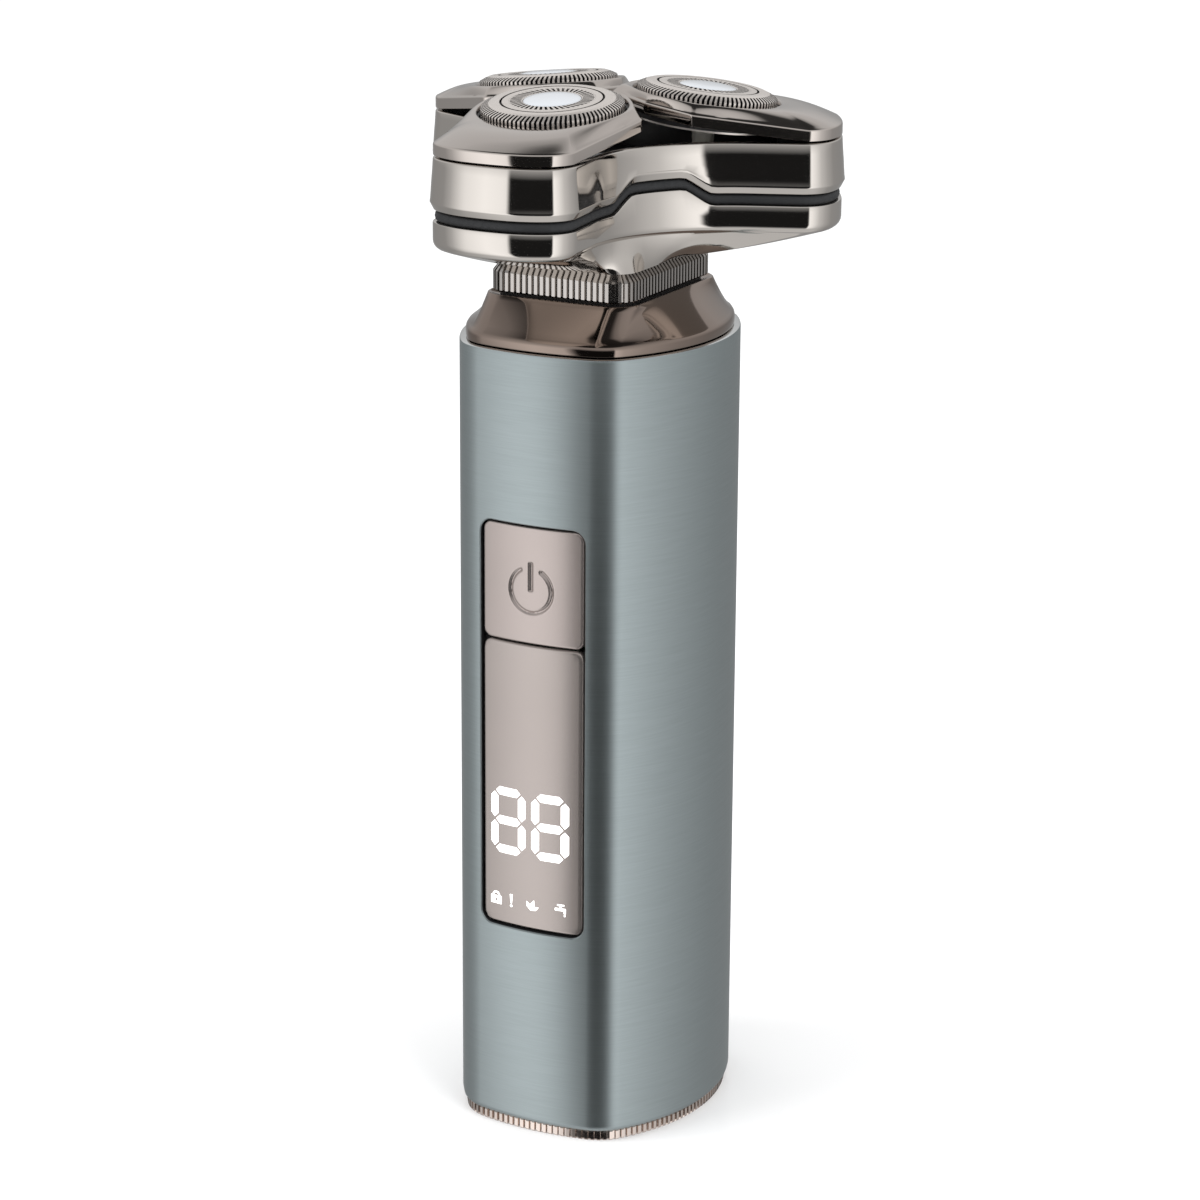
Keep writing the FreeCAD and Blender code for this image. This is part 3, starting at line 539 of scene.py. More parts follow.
def panel_plate(name, low, high, material, node, body, relief=None, step=0.13):
    """A plate that follows the handle's front, with rounded edges and optional relief."""
    half = WINDOW_HALF - PANEL_GAP
    middle, half_z = (low + high) / 2, (high - low) / 2
    edge_lines = np.array([0.0, 0.04, 0.1, 0.18, PANEL_EDGE])

    def lines(reach):
        inner = np.arange(-reach + 0.5, reach - 0.45, step)
        return np.unique(np.concatenate([-reach + edge_lines, inner, reach - edge_lines]))

    across, up = lines(half), lines(half_z)
    grid = []
    for z in up:
        over = max(0.0, abs(z) - (half_z - PANEL_CORNER))
        width = half - PANEL_CORNER + math.sqrt(max(PANEL_CORNER ** 2 - over ** 2, 0.0))
        x = across / half * width
        over_x = np.abs(x) - (half - PANEL_CORNER)
        inside = np.where((over_x > 0) & (over > 0), PANEL_CORNER - np.hypot(np.maximum(over_x, 0), over),
                          np.minimum(half - np.abs(x), half_z - abs(z)))
        edge = PANEL_EDGE_DROP * (1 - np.clip(inside / PANEL_EDGE, 0, 1)) ** 2
        depth = PANEL_RECESS + edge
        if relief is not None:
            depth = depth + relief(x, middle + z)
        grid.append(np.column_stack([x, front_y(x) + depth, np.full(len(x), middle + z)]))
    rows, columns = len(up), len(across)
    points = np.vstack(grid)
    faces = [(r * columns + c, r * columns + c + 1, (r + 1) * columns + c + 1, (r + 1) * columns + c)
             for r in range(rows - 1) for c in range(columns - 1)]
    rim = list(range(columns))
    rim += [r * columns + columns - 1 for r in range(1, rows)]
    rim += [(rows - 1) * columns + c for c in range(columns - 2, -1, -1)]
    rim += [r * columns for r in range(rows - 2, 0, -1)]
    back = points[rim].copy()
    back[:, 1] = front_y(back[:, 0], PANEL_RECESS + PANEL_THICKNESS)
    start = len(points)
    for k in range(len(rim)):
        after = (k + 1) % len(rim)
        faces.append((rim[after], rim[k], start + k, start + after))
    faces.append(tuple(start + k for k in reversed(range(len(rim)))))
    return build(name, np.vstack([points, back]), faces, [material], body, [node], sharp=50.0)


def power_symbol(x, z):
    """Depth of the debossed power symbol: an open ring and an upright bar."""
    dz = z - SYMBOL_Z
    radius = np.hypot(x, dz)
    opening = np.degrees(np.abs(np.arctan2(x, dz)))
    ring = np.clip(1 - np.abs(radius - 3.35) / 0.42, 0, 1) * np.clip((opening - 24) / 6, 0, 1)
    bar = np.clip(1 - np.abs(x) / 0.46, 0, 1) * np.clip((dz + 0.3) / 0.25, 0, 1)
    bar = bar * np.clip((4.3 - dz) / 0.25, 0, 1)
    groove = np.maximum(ring, bar)
    return 0.30 * groove * groove * (3 - 2 * groove)


def power_button():
    """The button's plate with its symbol; the switch boss behind it is out of sight."""
    panel_plate("button_plate", BUTTON_LOW, WINDOW_TOP - PANEL_GAP, BUTTON,
                "power_button", "button", relief=power_symbol)


def display_lens():
    panel_plate("display_window", WINDOW_LOW + PANEL_GAP, BUTTON_LOW - 0.3, LENS,
                "display_lens", "handle", step=0.8)


# ---- display marks

def bar_shape(x0, z0, x1, z1, width):
    """A bar with pointed ends, as in a seven-segment digit."""
    start, end = np.array([x0, z0], float), np.array([x1, z1], float)
    along = (end - start) / np.hypot(*(end - start))
    across = np.array([-along[1], along[0]]) * width / 2
    tip = along * width * 0.5
    return [start, start + tip + across, end - tip + across, end, end - tip - across, start + tip - across]


def digit_shapes(left):
    """The seven segments of an 8."""
    right, low, high = left + DIGIT_WIDTH, DIGIT_LOW, DIGIT_LOW + DIGIT_HEIGHT
    inset, gap, middle = SEGMENT / 2, 0.26, DIGIT_LOW + DIGIT_HEIGHT / 2
    xs, xe = left + inset, right - inset
    shapes = []
    for z in (low + inset, middle, high - inset):
        shapes.append(bar_shape(xs + gap, z, xe - gap, z, SEGMENT))
    for x in (xs, xe):
        shapes.append(bar_shape(x, low + inset + gap, x, middle - gap, SEGMENT))
        shapes.append(bar_shape(x, middle + gap, x, high - inset - gap, SEGMENT))
    return shapes


def arc_band(cx, cz, inner, outer, start, end, steps=20):
    """A band between two arcs, as a list of small quads."""
    middle = np.array([cx, cz])
    angles = np.linspace(start, end, steps + 1)
    return [[middle + unit(a) * inner, middle + unit(a) * outer, middle + unit(b) * outer,
             middle + unit(b) * inner] for a, b in zip(angles[:-1], angles[1:])]


def boxes(cx, cz, spans):
    """Upright rectangles from (x0, x1, z0, z1) spans about a centre."""
    return [[np.array([cx + x, cz + z]) for x, z in ((x0, z0), (x1, z0), (x1, z1), (x0, z1))]
            for x0, x1, z0, z1 in spans]


def lock_shapes(cx, cz):
    body = boxes(cx, cz, [(-0.95, -0.18, -0.8, 0.45), (0.18, 0.95, -0.8, 0.45),
                          (-0.18, 0.18, 0.1, 0.45), (-0.18, 0.18, -0.8, -0.45)])
    return body + arc_band(cx, cz + 0.45, 0.42, 0.68, 0, 180)


def alert_shapes(cx, cz):
    taper = [np.array([cx + x, cz + z])
             for x, z in ((-0.1, -0.25), (0.1, -0.25), (0.24, 1.15), (-0.24, 1.15))]
    return [taper] + arc_band(cx, cz - 0.65, 0.0, 0.2, 0, 360, 12)


def leaf_shapes(cx, cz):
    stem = np.array([cx, cz - 0.6])
    shapes = []
    for turn, size in ((70, 1.0), (25, 0.85), (115, 0.85)):
        half = stem + unit(turn) * 0.95 * size
        side = unit(turn + 90) * 0.36 * size
        shapes.append([stem, half - side, stem + unit(turn) * 1.75 * size, half + side])
    return shapes


def tap_shapes(cx, cz):
    return boxes(cx, cz, [(-1.0, 0.7, 0.1, 0.5), (-0.25, 0.05, 0.5, 0.85), (-0.65, 0.45, 0.85, 1.1),
                          (0.35, 0.7, -0.3, 0.1), (0.42, 0.62, -0.75, -0.45)])


def upright_slices(shape, width=0.5, touch=1e-4, thinnest=0.004):
    """Cut a convex shape into narrow upright pieces, which can follow the lens's bow."""
    outline = np.array(shape)
    low, high = outline[:, 0].min(), outline[:, 0].max()
    even = np.linspace(low, high, 2 + int((high - low) / width))
    spans = []
    for x in np.unique(np.concatenate([outline[:, 0], even]).round(5)):
        heights = []
        for a, b in zip(outline, np.roll(outline, -1, axis=0)):
            if min(a[0], b[0]) - touch <= x <= max(a[0], b[0]) + touch:
                upright = abs(b[0] - a[0]) <= touch
                share = 0.0 if upright else (x - a[0]) / (b[0] - a[0])
                heights.append(a[1] + (b[1] - a[1]) * share)
                if upright:
                    heights.append(b[1])
        spans.append((x, min(heights), max(max(heights), min(heights) + 0.01)))
    return [[(a[0], a[1]), (b[0], b[1]), (b[0], b[2]), (a[0], a[2])] for a, b in zip(spans[:-1], spans[1:])
            if b[0] - a[0] > thinnest]


def display_marks():
    """White marks on the display: two digits above a row of pictograms."""
    groups = {
        "display_digits": digit_shapes(-6.85) + digit_shapes(0.15),
        "display_pictograms": lock_shapes(-6.0, PICTOGRAM_Z) + alert_shapes(-3.3, PICTOGRAM_Z)
        + leaf_shapes(0.0, PICTOGRAM_Z - 0.1) + tap_shapes(5.0, PICTOGRAM_Z - 0.1),
    }
    for name, shapes in groups.items():
        points, faces = [], []
        for shape in [piece for whole in shapes for piece in upright_slices(whole)]:
            start = len(points)
            for depth in (-0.03, 0.05):
                for x, z in shape:
                    points.append([x, front_y(x) + PANEL_RECESS + depth, z])
            size = len(shape)
            faces.append(tuple(range(start, start + size)))
            faces.append(tuple(reversed(range(start + size, start + 2 * size))))
            for k in range(size):
                after = (k + 1) % size
                faces.append((start + after, start + k, start + size + k, start + size + after))
        build(name, points, faces, [GLOW], "handle", sharp=20.0)


# ---- shoulder, neck and foot

def shoulder():
    """A rounded lip on the tube, then four slopes that meet at creases, up to the neck."""
    lip = -0.9
    foot = [(lip - 0.25, SHOULDER_LOW), (lip - 0.04, SHOULDER_LOW + 0.12), (lip, SHOULDER_LOW + 0.4),
            (lip, SHOULDER_LIP - 0.75), (lip - 0.06, SHOULDER_LIP - 0.4), (lip - 0.25, SHOULDER_LIP - 0.1),
            (lip - 0.55, SHOULDER_LIP + 0.12)]
    rings = [at_height(handle_plan(offset), height) for offset, height in foot]
    bottom = at_height(handle_plan(lip - 0.8), SHOULDER_LIP + 0.32)
    top = at_height(neck_plan(0.75), SHOULDER_TOP - 0.08)
    for share in np.linspace(0, 1, 9):
        rings.append(bottom * (1 - share) + top * share)
    rings += [at_height(neck_plan(0.62), SHOULDER_TOP), at_height(neck_plan(0.35), SHOULDER_TOP),
              at_height(neck_plan(0.2), SHOULDER_TOP - 0.15),
              at_height(neck_plan(-1.0), SHOULDER_TOP - 0.4), at_height(neck_plan(-1.0), SHOULDER_LOW),
              at_height(handle_plan(-2.0), SHOULDER_LOW)]
    # The shoulder's material carries painted shade in its darkened base colour.
    shell_from_rings("shoulder_cover", rings, [SHOULDER_PAINTED_SHADE], "handle", ["shoulder"],
                     sharp=50.0)


def neck_collar():
    """The ribbed collar: upright ribs with a sloped top, over a thin step painted near-black as shade."""
    profile = [(-0.9, NECK_LOW - 0.25, False), (-0.35, NECK_LOW - 0.25, False), (-0.35, NECK_LOW, False),
               (-0.12, NECK_LOW, True), (0.0, NECK_LOW + 0.2, True), (0.0, NECK_TOP - 1.15, True),
               (-0.9, NECK_TOP, True), (-1.0, NECK_TOP, False)]
    rings = ribbed_rings(neck_plan(), profile, 0.38)
    shell_from_rings("ribbed_collar", rings, [RIBS, PAINTED_SLOT_SHADE], "handle", ["neck_ring"],
                     sharp=30.0, row_material={0: 1, 1: 1})


def base_trim():
    """The thin ribbed ring at the foot."""
    profile = [(-1.6, 0.0, False), (-0.35, 0.0, False), (-0.12, 0.0, True), (0.0, 0.18, True),
               (0.0, TUBE_LOW - 0.15, True), (-0.15, TUBE_LOW, True), (-0.5, TUBE_LOW, False),
               (-1.6, TUBE_LOW, False)]
    rings = ribbed_rings(handle_plan(-0.6), profile, 0.28)
    shell_from_rings("base_trim", rings, [BASE_RIBS], "handle", ["base_ring"], sharp=30.0)


# ---- head outline

CHEEK_CENTRE = (TIP_RADIUS - LOBE_CHEEK) * unit(TIP_HALF_ANGLE)
LOBE_CENTRE = CHEEK_CENTRE + (LOBE_CHEEK - LOBE_CORNER) * unit(LOBE_CHEEK_END)


def lobe_tip(end, tip_steps=6, cheek_steps=12, corner_steps=22):
    """Points and outward directions from the lobe's axis round its tip, cheek and corner."""
    points, normals = [], []
    for centre, radius, first, last, steps in (
            (np.zeros(2), TIP_RADIUS, 0.0, TIP_HALF_ANGLE, tip_steps),
            (CHEEK_CENTRE, LOBE_CHEEK, TIP_HALF_ANGLE, LOBE_CHEEK_END, cheek_steps),
            (LOBE_CENTRE, LOBE_CORNER, LOBE_CHEEK_END, end, corner_steps)):
        for degrees in np.linspace(first, last, steps, endpoint=False):
            points.append(centre + radius * unit(degrees))
            normals.append(unit(degrees))
    return points, normals


def lobe_plan(waist_steps=15):
    """The head's outline: points, outward directions and distance from the nearest waist's middle."""
    side, bisector = unit(LOBE_SIDE_ANGLE), unit(60.0)
    reach = (side @ LOBE_CENTRE + LOBE_CORNER + WAIST_RADIUS) / (side @ bisector)
    points, normals = lobe_tip(LOBE_SIDE_ANGLE)
    for degrees in np.linspace(LOBE_SIDE_ANGLE, 60.0, waist_steps + 1):
        points.append(reach * bisector - WAIST_RADIUS * unit(degrees))
        normals.append(unit(degrees))
    turn = math.radians(120)
    mirror = np.array([[math.cos(turn), math.sin(turn)], [math.sin(turn), -math.cos(turn)]])

    def whole(half):
        """All three lobes from half of one and its mirror image across the waist."""
        sector = np.vstack([half, (half[::-1] @ mirror)[1:-1]])
        return np.vstack([turned(sector, angle) for angle in LOBE_ANGLES])

    plan = whole(np.array(points))
    off_waist = np.full(len(plan), np.inf)
    for angle in LOBE_ANGLES:
        facing = plan @ unit(angle + 60) > 8
        distance = np.abs(plan @ unit(angle + 150))
        off_waist = np.where(facing, np.minimum(off_waist, distance), off_waist)
    return plan, whole(np.array(normals)), off_waist


HEAD_PLAN, HEAD_NORMAL, OFF_WAIST = lobe_plan()


def notch_height():
    """How far the seam is raised at each outline point, with softened corners."""
    def ramp(distance):
        return np.clip((NOTCH_BASE / 2 - distance) / ((NOTCH_BASE - NOTCH_FLAT) / 2), 0, 1)
    soft = sum(ramp(np.abs(OFF_WAIST + shift)) for shift in (-0.45, -0.15, 0.15, 0.45)) / 4
    return NOTCH_RISE * soft


NOTCH = notch_height()


def head_ring(offset, height, follow=0.0):
    """A ring on the head's outline; follow is how much it keeps to the stepped seam."""
    return at_height(HEAD_PLAN + HEAD_NORMAL * offset, height + NOTCH * follow)


def ray_to_neck(offset):
    """Where rays from the axis through the head's outline points meet the neck's outline."""
    half = np.array([NECK_HALF_X + offset, NECK_HALF_Y + offset])
    corner = NECK_CORNER + offset
    direction = HEAD_PLAN / np.hypot(*HEAD_PLAN.T)[:, None]
    flat = np.min(half / np.maximum(np.abs(direction), 1e-9), axis=1)
    centre = half - corner
    along = np.abs(direction) @ centre
    inside = np.maximum(along ** 2 - centre @ centre + corner ** 2, 0)
    rounded = along + np.sqrt(inside)
    hit = np.abs(direction) * flat[:, None]
    in_corner = (hit[:, 0] > centre[0]) & (hit[:, 1] > centre[1])
    return direction * np.where(in_corner, rounded, flat)[:, None]


def lower_shell():
    """The lower half of the head: an upright wall and a belly that narrows to the neck."""
    edge = 0.1
    rings = [head_ring(edge - HEAD_WALL, SEAL_LOW, 1), head_ring(edge - 0.22, SEAL_LOW, 1),
             head_ring(edge - 0.06, SEAL_LOW - 0.06, 1), head_ring(edge, SEAL_LOW - 0.22, 1),
             head_ring(edge, BELLY_TOP + 2.1, 0.45), head_ring(edge, BELLY_TOP + 1.3)]
    for degrees in (15, 30, 45, 60, 73):
        along, down = unit(degrees) * BELLY_FILLET
        rings.append(head_ring(edge - (BELLY_FILLET - along), BELLY_TOP + 1.3 - down * 0.9))
    rim = rings[-1]
    neck = at_height(ray_to_neck(0.3), HEAD_LOW + 0.1)
    for share in np.linspace(0, 1, 15)[1:]:
        ring = rim * (1 - share) + neck * share
        ring[:, 2] -= 0.35 * math.sin(math.pi * share)
        ring[:, 2] = np.maximum(ring[:, 2], HEAD_LOW + 0.1)
        rings.append(ring)
    spigot, hub = ray_to_neck(-SPIGOT_INSET), ray_to_neck(-HUB_INSET)
    rings += [at_height(ray_to_neck(0.1), HEAD_LOW), at_height(spigot, HEAD_LOW),
              at_height(spigot, SPIGOT_LOW), at_height(hub, SPIGOT_LOW), at_height(hub, HEAD_FLOOR),
              head_ring(edge - HEAD_WALL, HEAD_FLOOR)]
    shell_from_rings("head_lower_shell", rings, [HEAD, BLACK], "head_base", ["lower_shell"],
                     sharp=42.0, row_material={len(rings) - 1: 1, len(rings) - 2: 1})


def seam_seal():
    """The rubber line between the two halves of the head, set back a little."""
    outer = -0.3
    rings = [head_ring(-1.3, SEAL_LOW + 0.02, 1), head_ring(outer - 0.3, SEAL_LOW + 0.02, 1),
             head_ring(outer, SEAL_LOW + 0.3, 1), head_ring(outer + 0.1, SEAL_LOW + 0.75, 1),
             head_ring(outer, SEAL_LOW + 1.2, 1), head_ring(outer - 0.3, FRAME_LOW - 0.15, 1),
             head_ring(-1.3, FRAME_LOW - 0.15, 1)]
    shell_from_rings("seam_seal_line", rings, [RUBBER], "head_base", ["seam_seal"],
                     sharp=50.0)


def upper_frame():
    """The polished upper ring: a sloped lower edge, a soft ridge and a wall that leans in."""
    rings = [head_ring(-HEAD_WALL, FRAME_LOW, 1), head_ring(-0.2, FRAME_LOW, 1),
             head_ring(-0.08, FRAME_LOW + 0.05, 1), head_ring(0.0, FRAME_LOW + 0.16, 1),
             head_ring(0.42, FRAME_RIDGE - 0.12, 1), head_ring(0.49, FRAME_RIDGE, 1),
             head_ring(0.47, FRAME_RIDGE + 0.2, 1), head_ring(0.42, FRAME_RIDGE + 0.5, 0.9),
             head_ring(0.36, FRAME_RIDGE + 1.3, 0.55), head_ring(0.25, FRAME_RIDGE + 2.9, 0.2),
             head_ring(0.12, FRAME_RIDGE + 4.4), head_ring(0.02, FRAME_TOP - 0.25),
             head_ring(-0.05, FRAME_TOP - 0.08), head_ring(-0.2, FRAME_TOP),
             head_ring(-0.9, FRAME_TOP), head_ring(-1.05, FRAME_TOP - 0.15),
             head_ring(-HEAD_WALL, FRAME_TOP - 0.9)]
    dark = {len(rings) - 1: 1, len(rings) - 2: 1, len(rings) - 3: 1}
    shell_from_rings("head_upper_frame", rings, [HEAD, BLACK], "head_top", ["upper_frame"],
                     sharp=42.0, row_material=dark)


# ---- pods

def rounded_corner(before, corner, after, radius, steps=8):
    """Points of a fillet at a corner, and their outward directions (the outline runs left-handed)."""
    into = (corner - before) / np.hypot(*(corner - before))
    out = (after - corner) / np.hypot(*(after - corner))
    turn = math.acos(np.clip(into @ out, -1, 1))
    reach = radius * math.tan(turn / 2)
    start = corner - into * reach
    left = np.array([-into[1], into[0]])
    centre = start + left * radius
    points, normals = [], []
    for k in range(steps + 1):
        share = turn * k / steps
        normal = -left * math.cos(share) + into * math.sin(share)
        points.append(centre + normal * radius)
        normals.append(normal)
    return points, normals


def pod_plan():
    """Half of the pod's outline mirrored to the whole: points and outward directions."""
    side, inner = np.array(POD_SIDE_CORNER), np.array(POD_INNER_CORNER)
    apex = np.array([POD_APEX, 0.0])
    back = side - LOBE_CENTRE
    tangent = math.degrees(math.atan2(back[1], back[0]) - math.acos(LOBE_CORNER / np.hypot(*back)))
    points, normals = lobe_tip(tangent)
    leave = LOBE_CENTRE + LOBE_CORNER * unit(tangent)
    points.append(leave)
    normals.append(unit(tangent))
    corners = [(leave, side, inner, 1.3), (side, inner, apex, 1.6), (inner, apex, inner * [1, -1], 0.9)]
    for before, corner, after, radius in corners:
        fillet, outward = rounded_corner(before, corner, after, radius)
        begin = points[-1]
        for share in np.linspace(0, 1, 15)[1:-1]:
            points.append(begin * (1 - share) + fillet[0] * share)
            normals.append(outward[0])
        points += fillet
        normals += outward
    last = len(points) - 5
    half, half_normals = np.array(points[:last + 1]), np.array(normals[:last + 1])
    half[-1, 1] = 0.0
    whole = np.vstack([half, (half[::-1] * [1, -1])[1:-1]])
    return whole, np.vstack([half_normals, (half_normals[::-1] * [1, -1])[1:-1]]), leave[0]


def in_ring_frame(points):
    """Move points from the cutter ring's own frame to its place on the +X lobe."""
    c, s = math.cos(math.radians(RING_TILT)), math.sin(math.radians(RING_TILT))
    points = np.asarray(points, float)
    moved = np.column_stack([points[:, 0] * c + points[:, 2] * s, points[:, 1],
                             -points[:, 0] * s + points[:, 2] * c])
    return moved + [RING_ORBIT, 0, RING_HEIGHT]


def pod_rings():
    """Rings of a pod: its band, the slopes up to the cutter and the recess round the cutter."""
    plan, normal, leave_x = pod_plan()
    foot = POD_LOW + POD_RISE * np.maximum(0.0, leave_x - plan[:, 0])

    def band(offset, height):
        return at_height(plan + normal * offset, foot + height)

    turns = np.degrees(np.arctan2(plan[:, 1], plan[:, 0] - RING_ORBIT))

    def recess(radius, height):
        return in_ring_frame(at_height(radius * unit(turns), height))

    rings = [recess(RING_RADIUS + 0.25, -4.2), band(-2.0, 0.25), band(-0.9, 0.0), band(-0.14, 0.0),
             band(-0.03, 0.07), band(0.0, 0.2), band(0.0, POD_BAND - 0.32), band(-0.03, POD_BAND - 0.14),
             band(-0.13, POD_BAND - 0.02)]
    crease, top = band(-0.3, POD_BAND + 0.06), recess(RING_RECESS + 0.12, -0.48)
    for share in np.linspace(0, 1, 14):
        ring = crease * (1 - share) + top * share
        ring[:, 2] += 0.5 * math.sin(math.pi * share)
        rings.append(ring)
    rings += [recess(RING_RECESS - 0.02, -0.5), recess(RING_RECESS - 0.12, -0.62),
              recess(RING_RECESS - 0.2, -1.2), recess(RING_RADIUS + 0.25, -1.3)]
    return rings


def pods():
    rings = pod_rings()
    inner_rows = {len(rings) - 1: 1, len(rings) - 2: 1, 0: 1, 1: 1}
    for number, angle in enumerate(LOBE_ANGLES, start=1):
        placed = [turned(ring, angle) for ring in rings]
        shell_from_rings(f"pod_cover_{number}", placed, [POD, BLACK], f"pod_{number}",
                         [f"pod_shell_{number}"], sharp=44.0, row_material=inner_rows)


# ---- cutters

def slotted_ring(rows, slots, slot_depth, lean):
    """Points, faces and face materials of a toothed ring, from (radius, height, kind) rows inward."""
    pitch = 360.0 / slots
    marks = np.array([0.0, 0.48, 0.52, 0.96]) * pitch
    angles = (np.arange(slots)[:, None] * pitch + marks[None, :]).ravel()
    sunk = np.tile([0.0, 0.0, 1.0, 1.0], slots)
    rings = []
    for radius, height, kind in rows:
        drop = slot_depth * sunk if kind == SLOTTED else 0.0
        inset = 0.4 * sunk if kind == SLOTTED and radius > 9.3 else np.zeros(len(angles))
        directions = unit(angles + lean * (radius - rows[0][0]))
        rings.append(at_height(directions * (radius - inset)[:, None], height - drop))
    faces = ring_faces(len(rings), len(angles), closed=True)
    land = np.tile([True, False, False, False], slots)
    # Slot floors and grooves take the second material, near-black painted shade.
    dark = [np.full(len(angles), kind == GROOVED) | ((kind == SLOTTED) & ~land) for _, _, kind in rows]
    return np.vstack(rings), faces, np.concatenate(dark).astype(int).tolist()


def outer_cutters():
    """A ring with fine slots over its bevelled edge, and a comb of longer slots round the cap."""
    top, outer = RING_TOP, RING_RADIUS
    edge = [(outer, -4.5, PLAIN), (outer, -0.95, PLAIN), (outer, -0.93, SLOTTED), (outer, -0.06, SLOTTED),
            (outer - 0.1, 0.08, SLOTTED), (9.45, 0.36, SLOTTED), (8.95, 0.56, SLOTTED), (8.93, 0.57, PLAIN),
            (8.55, top - 0.05, PLAIN), (8.35, top, PLAIN), (7.42, top, PLAIN), (7.38, top - 0.03, GROOVED),
            (7.36, top - 0.4, GROOVED), (7.08, top - 0.4, GROOVED), (7.06, top - 0.03, PLAIN),
            (7.02, top, PLAIN), (6.1, top, PLAIN), (6.1, top - 0.9, PLAIN), (8.2, top - 1.1, PLAIN),
            (9.4, -0.9, PLAIN), (9.4, -4.5, PLAIN)]
    rim = CAP_RADIUS - 0.05
    comb = [(6.08, top - 0.85, PLAIN), (6.08, top, PLAIN), (5.92, top, PLAIN), (5.9, top, SLOTTED),
            (CAP_RADIUS + 0.12, top + 0.02, SLOTTED), (CAP_RADIUS + 0.1, top, PLAIN),
            (rim, top - 0.05, PLAIN), (rim, top - 0.85, PLAIN)]
    for number, angle in enumerate(LOBE_ANGLES, start=1):
        for name, nodes, (points, faces, dark) in (
                ("cutter_ring", [f"outer_cutter_{number}"], slotted_ring(edge, EDGE_SLOTS, 0.75, -1.5)),
                ("cutter_comb", [], slotted_ring(comb, COMB_SLOTS, 0.6, 3.0))):
            # The second material paints shade into the slots and grooves.
            build(f"{name}_{number}", turned(in_ring_frame(points), angle), faces, [STEEL, PAINTED_SLOT_SHADE],
                  f"pod_{number}", nodes, sharp=30.0, face_material=dark)


def cutter_caps():
    profile = [(CAP_RADIUS - 0.1, 0.25), (CAP_RADIUS - 0.08, 0.6), (CAP_RADIUS - 0.2, 0.74),
               (CAP_RADIUS - 0.5, 0.83), (3.0, 0.96), (1.8, 1.03), (0.6, 1.05)]
    angles = np.linspace(0, 360, 96, endpoint=False)
    for number, angle in enumerate(LOBE_ANGLES, start=1):
        rings = [turned(in_ring_frame(at_height(unit(angles) * radius, height)), angle)
                 for radius, height in profile]
        shell_from_rings(f"cutter_button_{number}", rings, [CAP], f"pod_{number}",
                         [f"cutter_cap_{number}"], closed=False, sharp=60.0)


# ---- stage

CAMERA_PLACE = (242.9, -458.1, 229.8)
CAMERA_AZIMUTH = 27.93
CAMERA_PITCH = 16.38
CAMERA_ROLL = 0.35
CAMERA_LENS = 109.1


def camera():
    data = bpy.data.cameras.new("camera")
    data.lens = CAMERA_LENS
    data.sensor_width = 36.0
    data.clip_start = 0.01
    place = bpy.data.objects.new("camera", data)
    bpy.context.scene.collection.objects.link(place)
    a, e, r = (math.radians(v) for v in (CAMERA_AZIMUTH, CAMERA_PITCH, CAMERA_ROLL))
    forward = Vector((-math.sin(a) * math.cos(e), math.cos(a) * math.cos(e), -math.sin(e)))
    right = Vector((math.cos(a), math.sin(a), 0))
    up = right.cross(forward)
    leaned_right = right * math.cos(r) + up * math.sin(r)
    leaned_up = up * math.cos(r) - right * math.sin(r)
    turn = Matrix((leaned_right, leaned_up, -forward)).transposed()
    place.matrix_world = Matrix.Translation(Vector(CAMERA_PLACE) * MM) @ turn.to_4x4()
    bpy.context.scene.camera = place


def bare_material(name):
    """A material with no nodes yet."""
    material = bpy.data.materials.new(name)
    material.use_nodes = True
    material.node_tree.nodes.clear()
    return material


def floor():
    """A pale matt floor with a faint sheen."""
    material = bare_material("floor_pale")
    matt = add_node(material, "BsdfDiffuse", Color=(0.95, 0.95, 0.953, 1))
    sheen = add_node(material, "BsdfGlossy", Roughness=0.08)
    mix = add_node(material, "MixShader", Fac=0.06)
    out = add_node(material, "OutputMaterial")
    link(material, matt.outputs["BSDF"], mix.inputs[1])
    link(material, sheen.outputs["BSDF"], mix.inputs[2])
    link(material, mix.outputs["Shader"], out.inputs["Surface"])
    corners = [(-4.0, -4.0, 0), (4.0, -4.0, 0), (4.0, 4.0, 0), (-4.0, 4.0, 0)]
    plane = place_mesh("floor", corners, [(0, 1, 2, 3)], [material])
    plane.visible_glossy = False


# Brightness that the polished parts reflect, by compass direction in degrees round the object:
# 0 is in front of the display and 90 is to its right.
SURROUND = [(-180, 0.33), (-150, 0.38), (-110, 0.36), (-75, 0.42), (-62, 0.62), (-50, 0.95), (-38, 1.3),
            (-28, 1.5), (-14, 1.35), (-9, 0.015), (54, 0.015), (58, 1.55), (72, 1.3), (92, 0.85), (116, 0.6),
            (145, 0.42), (180, 0.33)]
# The same by height: sine of the elevation, brightness, and how far it overrides the compass.
SURROUND_HEIGHT = [(-1.0, 0.75, 1.0), (-0.9, 0.75, 1.0), (-0.8, 0.7, 0.4), (-0.65, 0.7, 0.0),
                   (0.08, 0.85, 0.0), (0.42, 0.8, 0.8), (0.72, 0.68, 1.0), (0.82, 0.45, 1.0),
                   (0.88, 0.05, 1.0), (1.0, 0.03, 1.0)]


def value_ramp(material, stops):
    """A grey ramp through (position, value) stops."""
    ramp = add_node(material, "ValToRGB")
    elements = ramp.color_ramp.elements
    for k, (position, value) in enumerate(stops):
        stop = elements[k] if k < 2 else elements.new(position)
        stop.position = position
        stop.color = (value, value, value, 1)
    return ramp


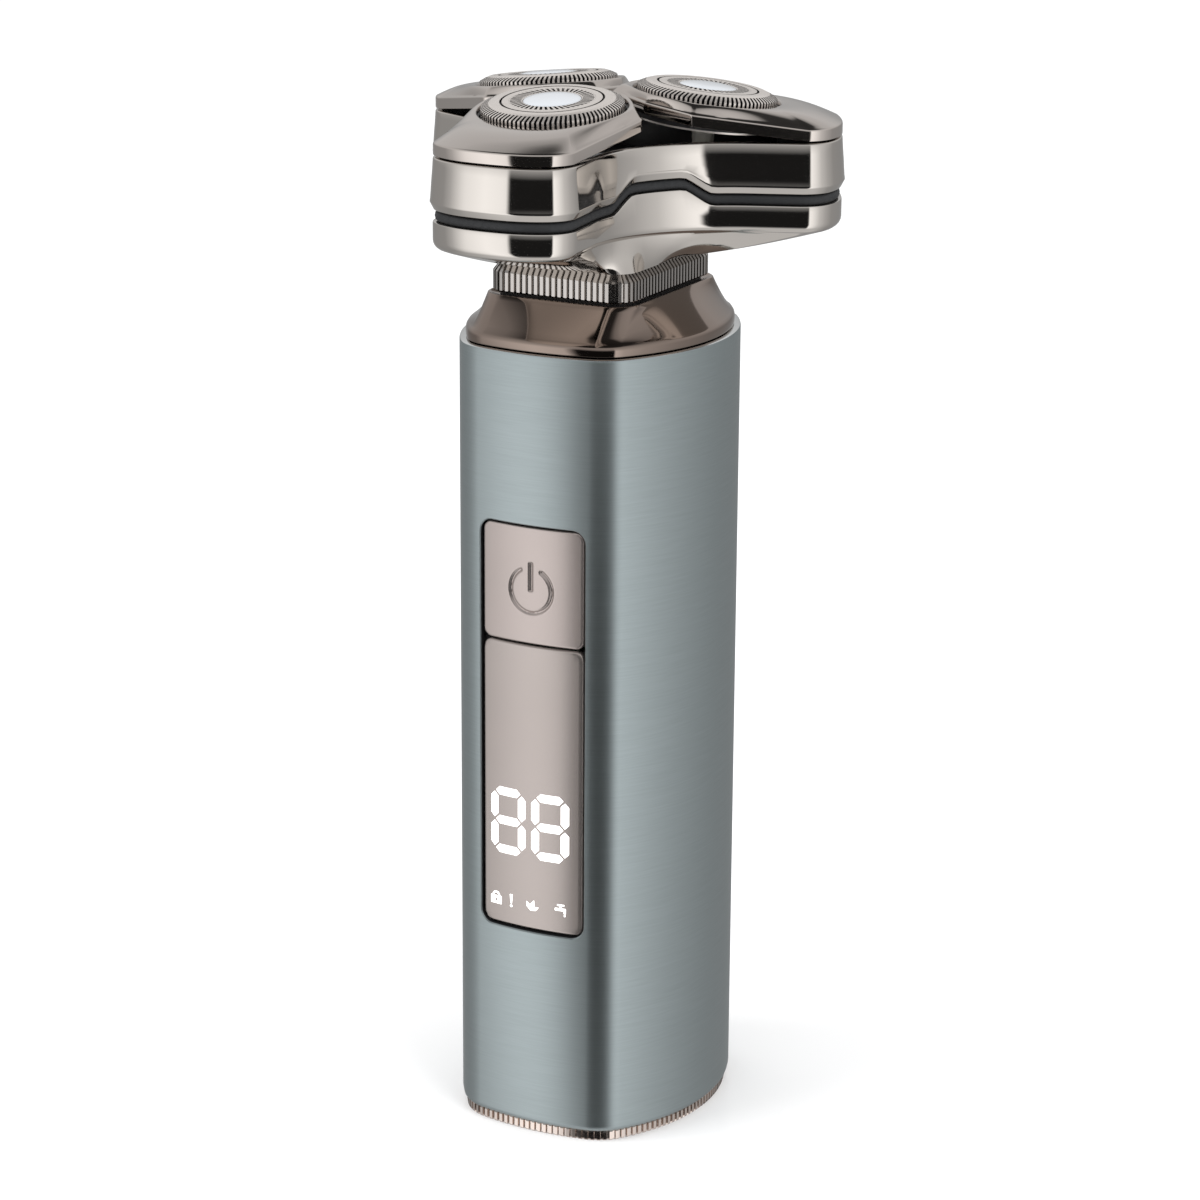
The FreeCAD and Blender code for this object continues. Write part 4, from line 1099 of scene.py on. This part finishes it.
def surround_light(radius):
    """The dome's light: brightness by compass direction, overridden near the floor and overhead."""
    material = bare_material("surround_light")
    place, split = add_node(material, "TexCoord"), add_node(material, "SeparateXYZ")
    link(material, place.outputs["Object"], split.inputs["Vector"])
    back, compass = add_node(material, "Math"), add_node(material, "Math")
    back.operation, compass.operation = "MULTIPLY", "ARCTAN2"
    back.inputs[1].default_value = -1.0
    link(material, split.outputs["Y"], back.inputs[0])
    link(material, split.outputs["X"], compass.inputs[0])
    link(material, back.outputs["Value"], compass.inputs[1])
    share = add_node(material, "MapRange", From_Min=-math.pi, From_Max=math.pi)
    link(material, compass.outputs["Value"], share.inputs["Value"])
    height = add_node(material, "MapRange", From_Min=-radius, From_Max=radius)
    link(material, split.outputs["Z"], height.inputs["Value"])
    top = max(value for _, value in SURROUND)
    around = value_ramp(material, [((degrees + 180) / 360, value / top) for degrees, value in SURROUND])
    level = value_ramp(material, [((sine + 1) / 2, value / top) for sine, value, _ in SURROUND_HEIGHT])
    override = value_ramp(material, [((sine + 1) / 2, amount) for sine, _, amount in SURROUND_HEIGHT])
    link(material, share.outputs["Result"], around.inputs["Fac"])
    link(material, height.outputs["Result"], level.inputs["Fac"])
    link(material, height.outputs["Result"], override.inputs["Fac"])
    blend = add_node(material, "Mix")
    blend.data_type = "RGBA"
    link(material, override.outputs["Color"], blend.inputs["Factor"])
    link(material, around.outputs["Color"], blend.inputs["A"])
    link(material, level.outputs["Color"], blend.inputs["B"])
    light, out = add_node(material, "Emission", Strength=top), add_node(material, "OutputMaterial")
    link(material, blend.outputs["Result"], light.inputs["Color"])
    link(material, light.outputs["Emission"], out.inputs["Surface"])
    material.cycles.emission_sampling = "NONE"
    return material


def surround():
    """A dome that only reflections see: pale softboxes with a dark gap where the camera stands."""
    rows, columns, radius = 48, 96, 3.0
    points = []
    for row in range(rows + 1):
        tilt = math.pi * (row / rows - 0.5)
        for column in range(columns):
            turn = 2 * math.pi * column / columns
            points.append((radius * math.cos(tilt) * math.cos(turn), radius * math.cos(tilt) * math.sin(turn),
                           radius * math.sin(tilt)))
    faces = [tuple(reversed(face)) for face in ring_faces(rows + 1, columns)]
    dome = place_mesh("surround", points, faces, [surround_light(radius)])
    for kind in ("camera", "diffuse", "shadow", "transmission", "volume_scatter"):
        setattr(dome, "visible_" + kind, False)


def studio_light():
    world = bpy.data.worlds.new("studio")
    bpy.context.scene.world = world
    world.use_nodes = True
    background = world.node_tree.nodes["Background"]
    background.inputs["Color"].default_value = (1, 1, 1, 1)
    background.inputs["Strength"].default_value = 1.02
    for name, place, size, power in (("key", (-0.9, -0.9, 1.3), 0.9, 12.0),
                                     ("fill", (1.1, -0.5, 1.0), 0.8, 8.0)):
        data = bpy.data.lights.new(name, "AREA")
        data.size = size
        data.energy = power
        lamp = bpy.data.objects.new(name, data)
        lamp.location = place
        lamp.rotation_mode = "QUATERNION"
        lamp.rotation_quaternion = (Vector((0, 0, 0.08)) - Vector(place)).to_track_quat("-Z", "Y")
        lamp.visible_glossy = False
        bpy.context.scene.collection.objects.link(lamp)
    bpy.context.scene.view_settings.view_transform = "Standard"


camera()
floor()
surround()
studio_light()
dress_cad_nodes()
handle_tube()
power_button()
display_lens()
display_marks()
shoulder()
neck_collar()
base_trim()
lower_shell()
seam_seal()
upper_frame()
pods()
outer_cutters()
cutter_caps()

bpy.context.view_layer.update()
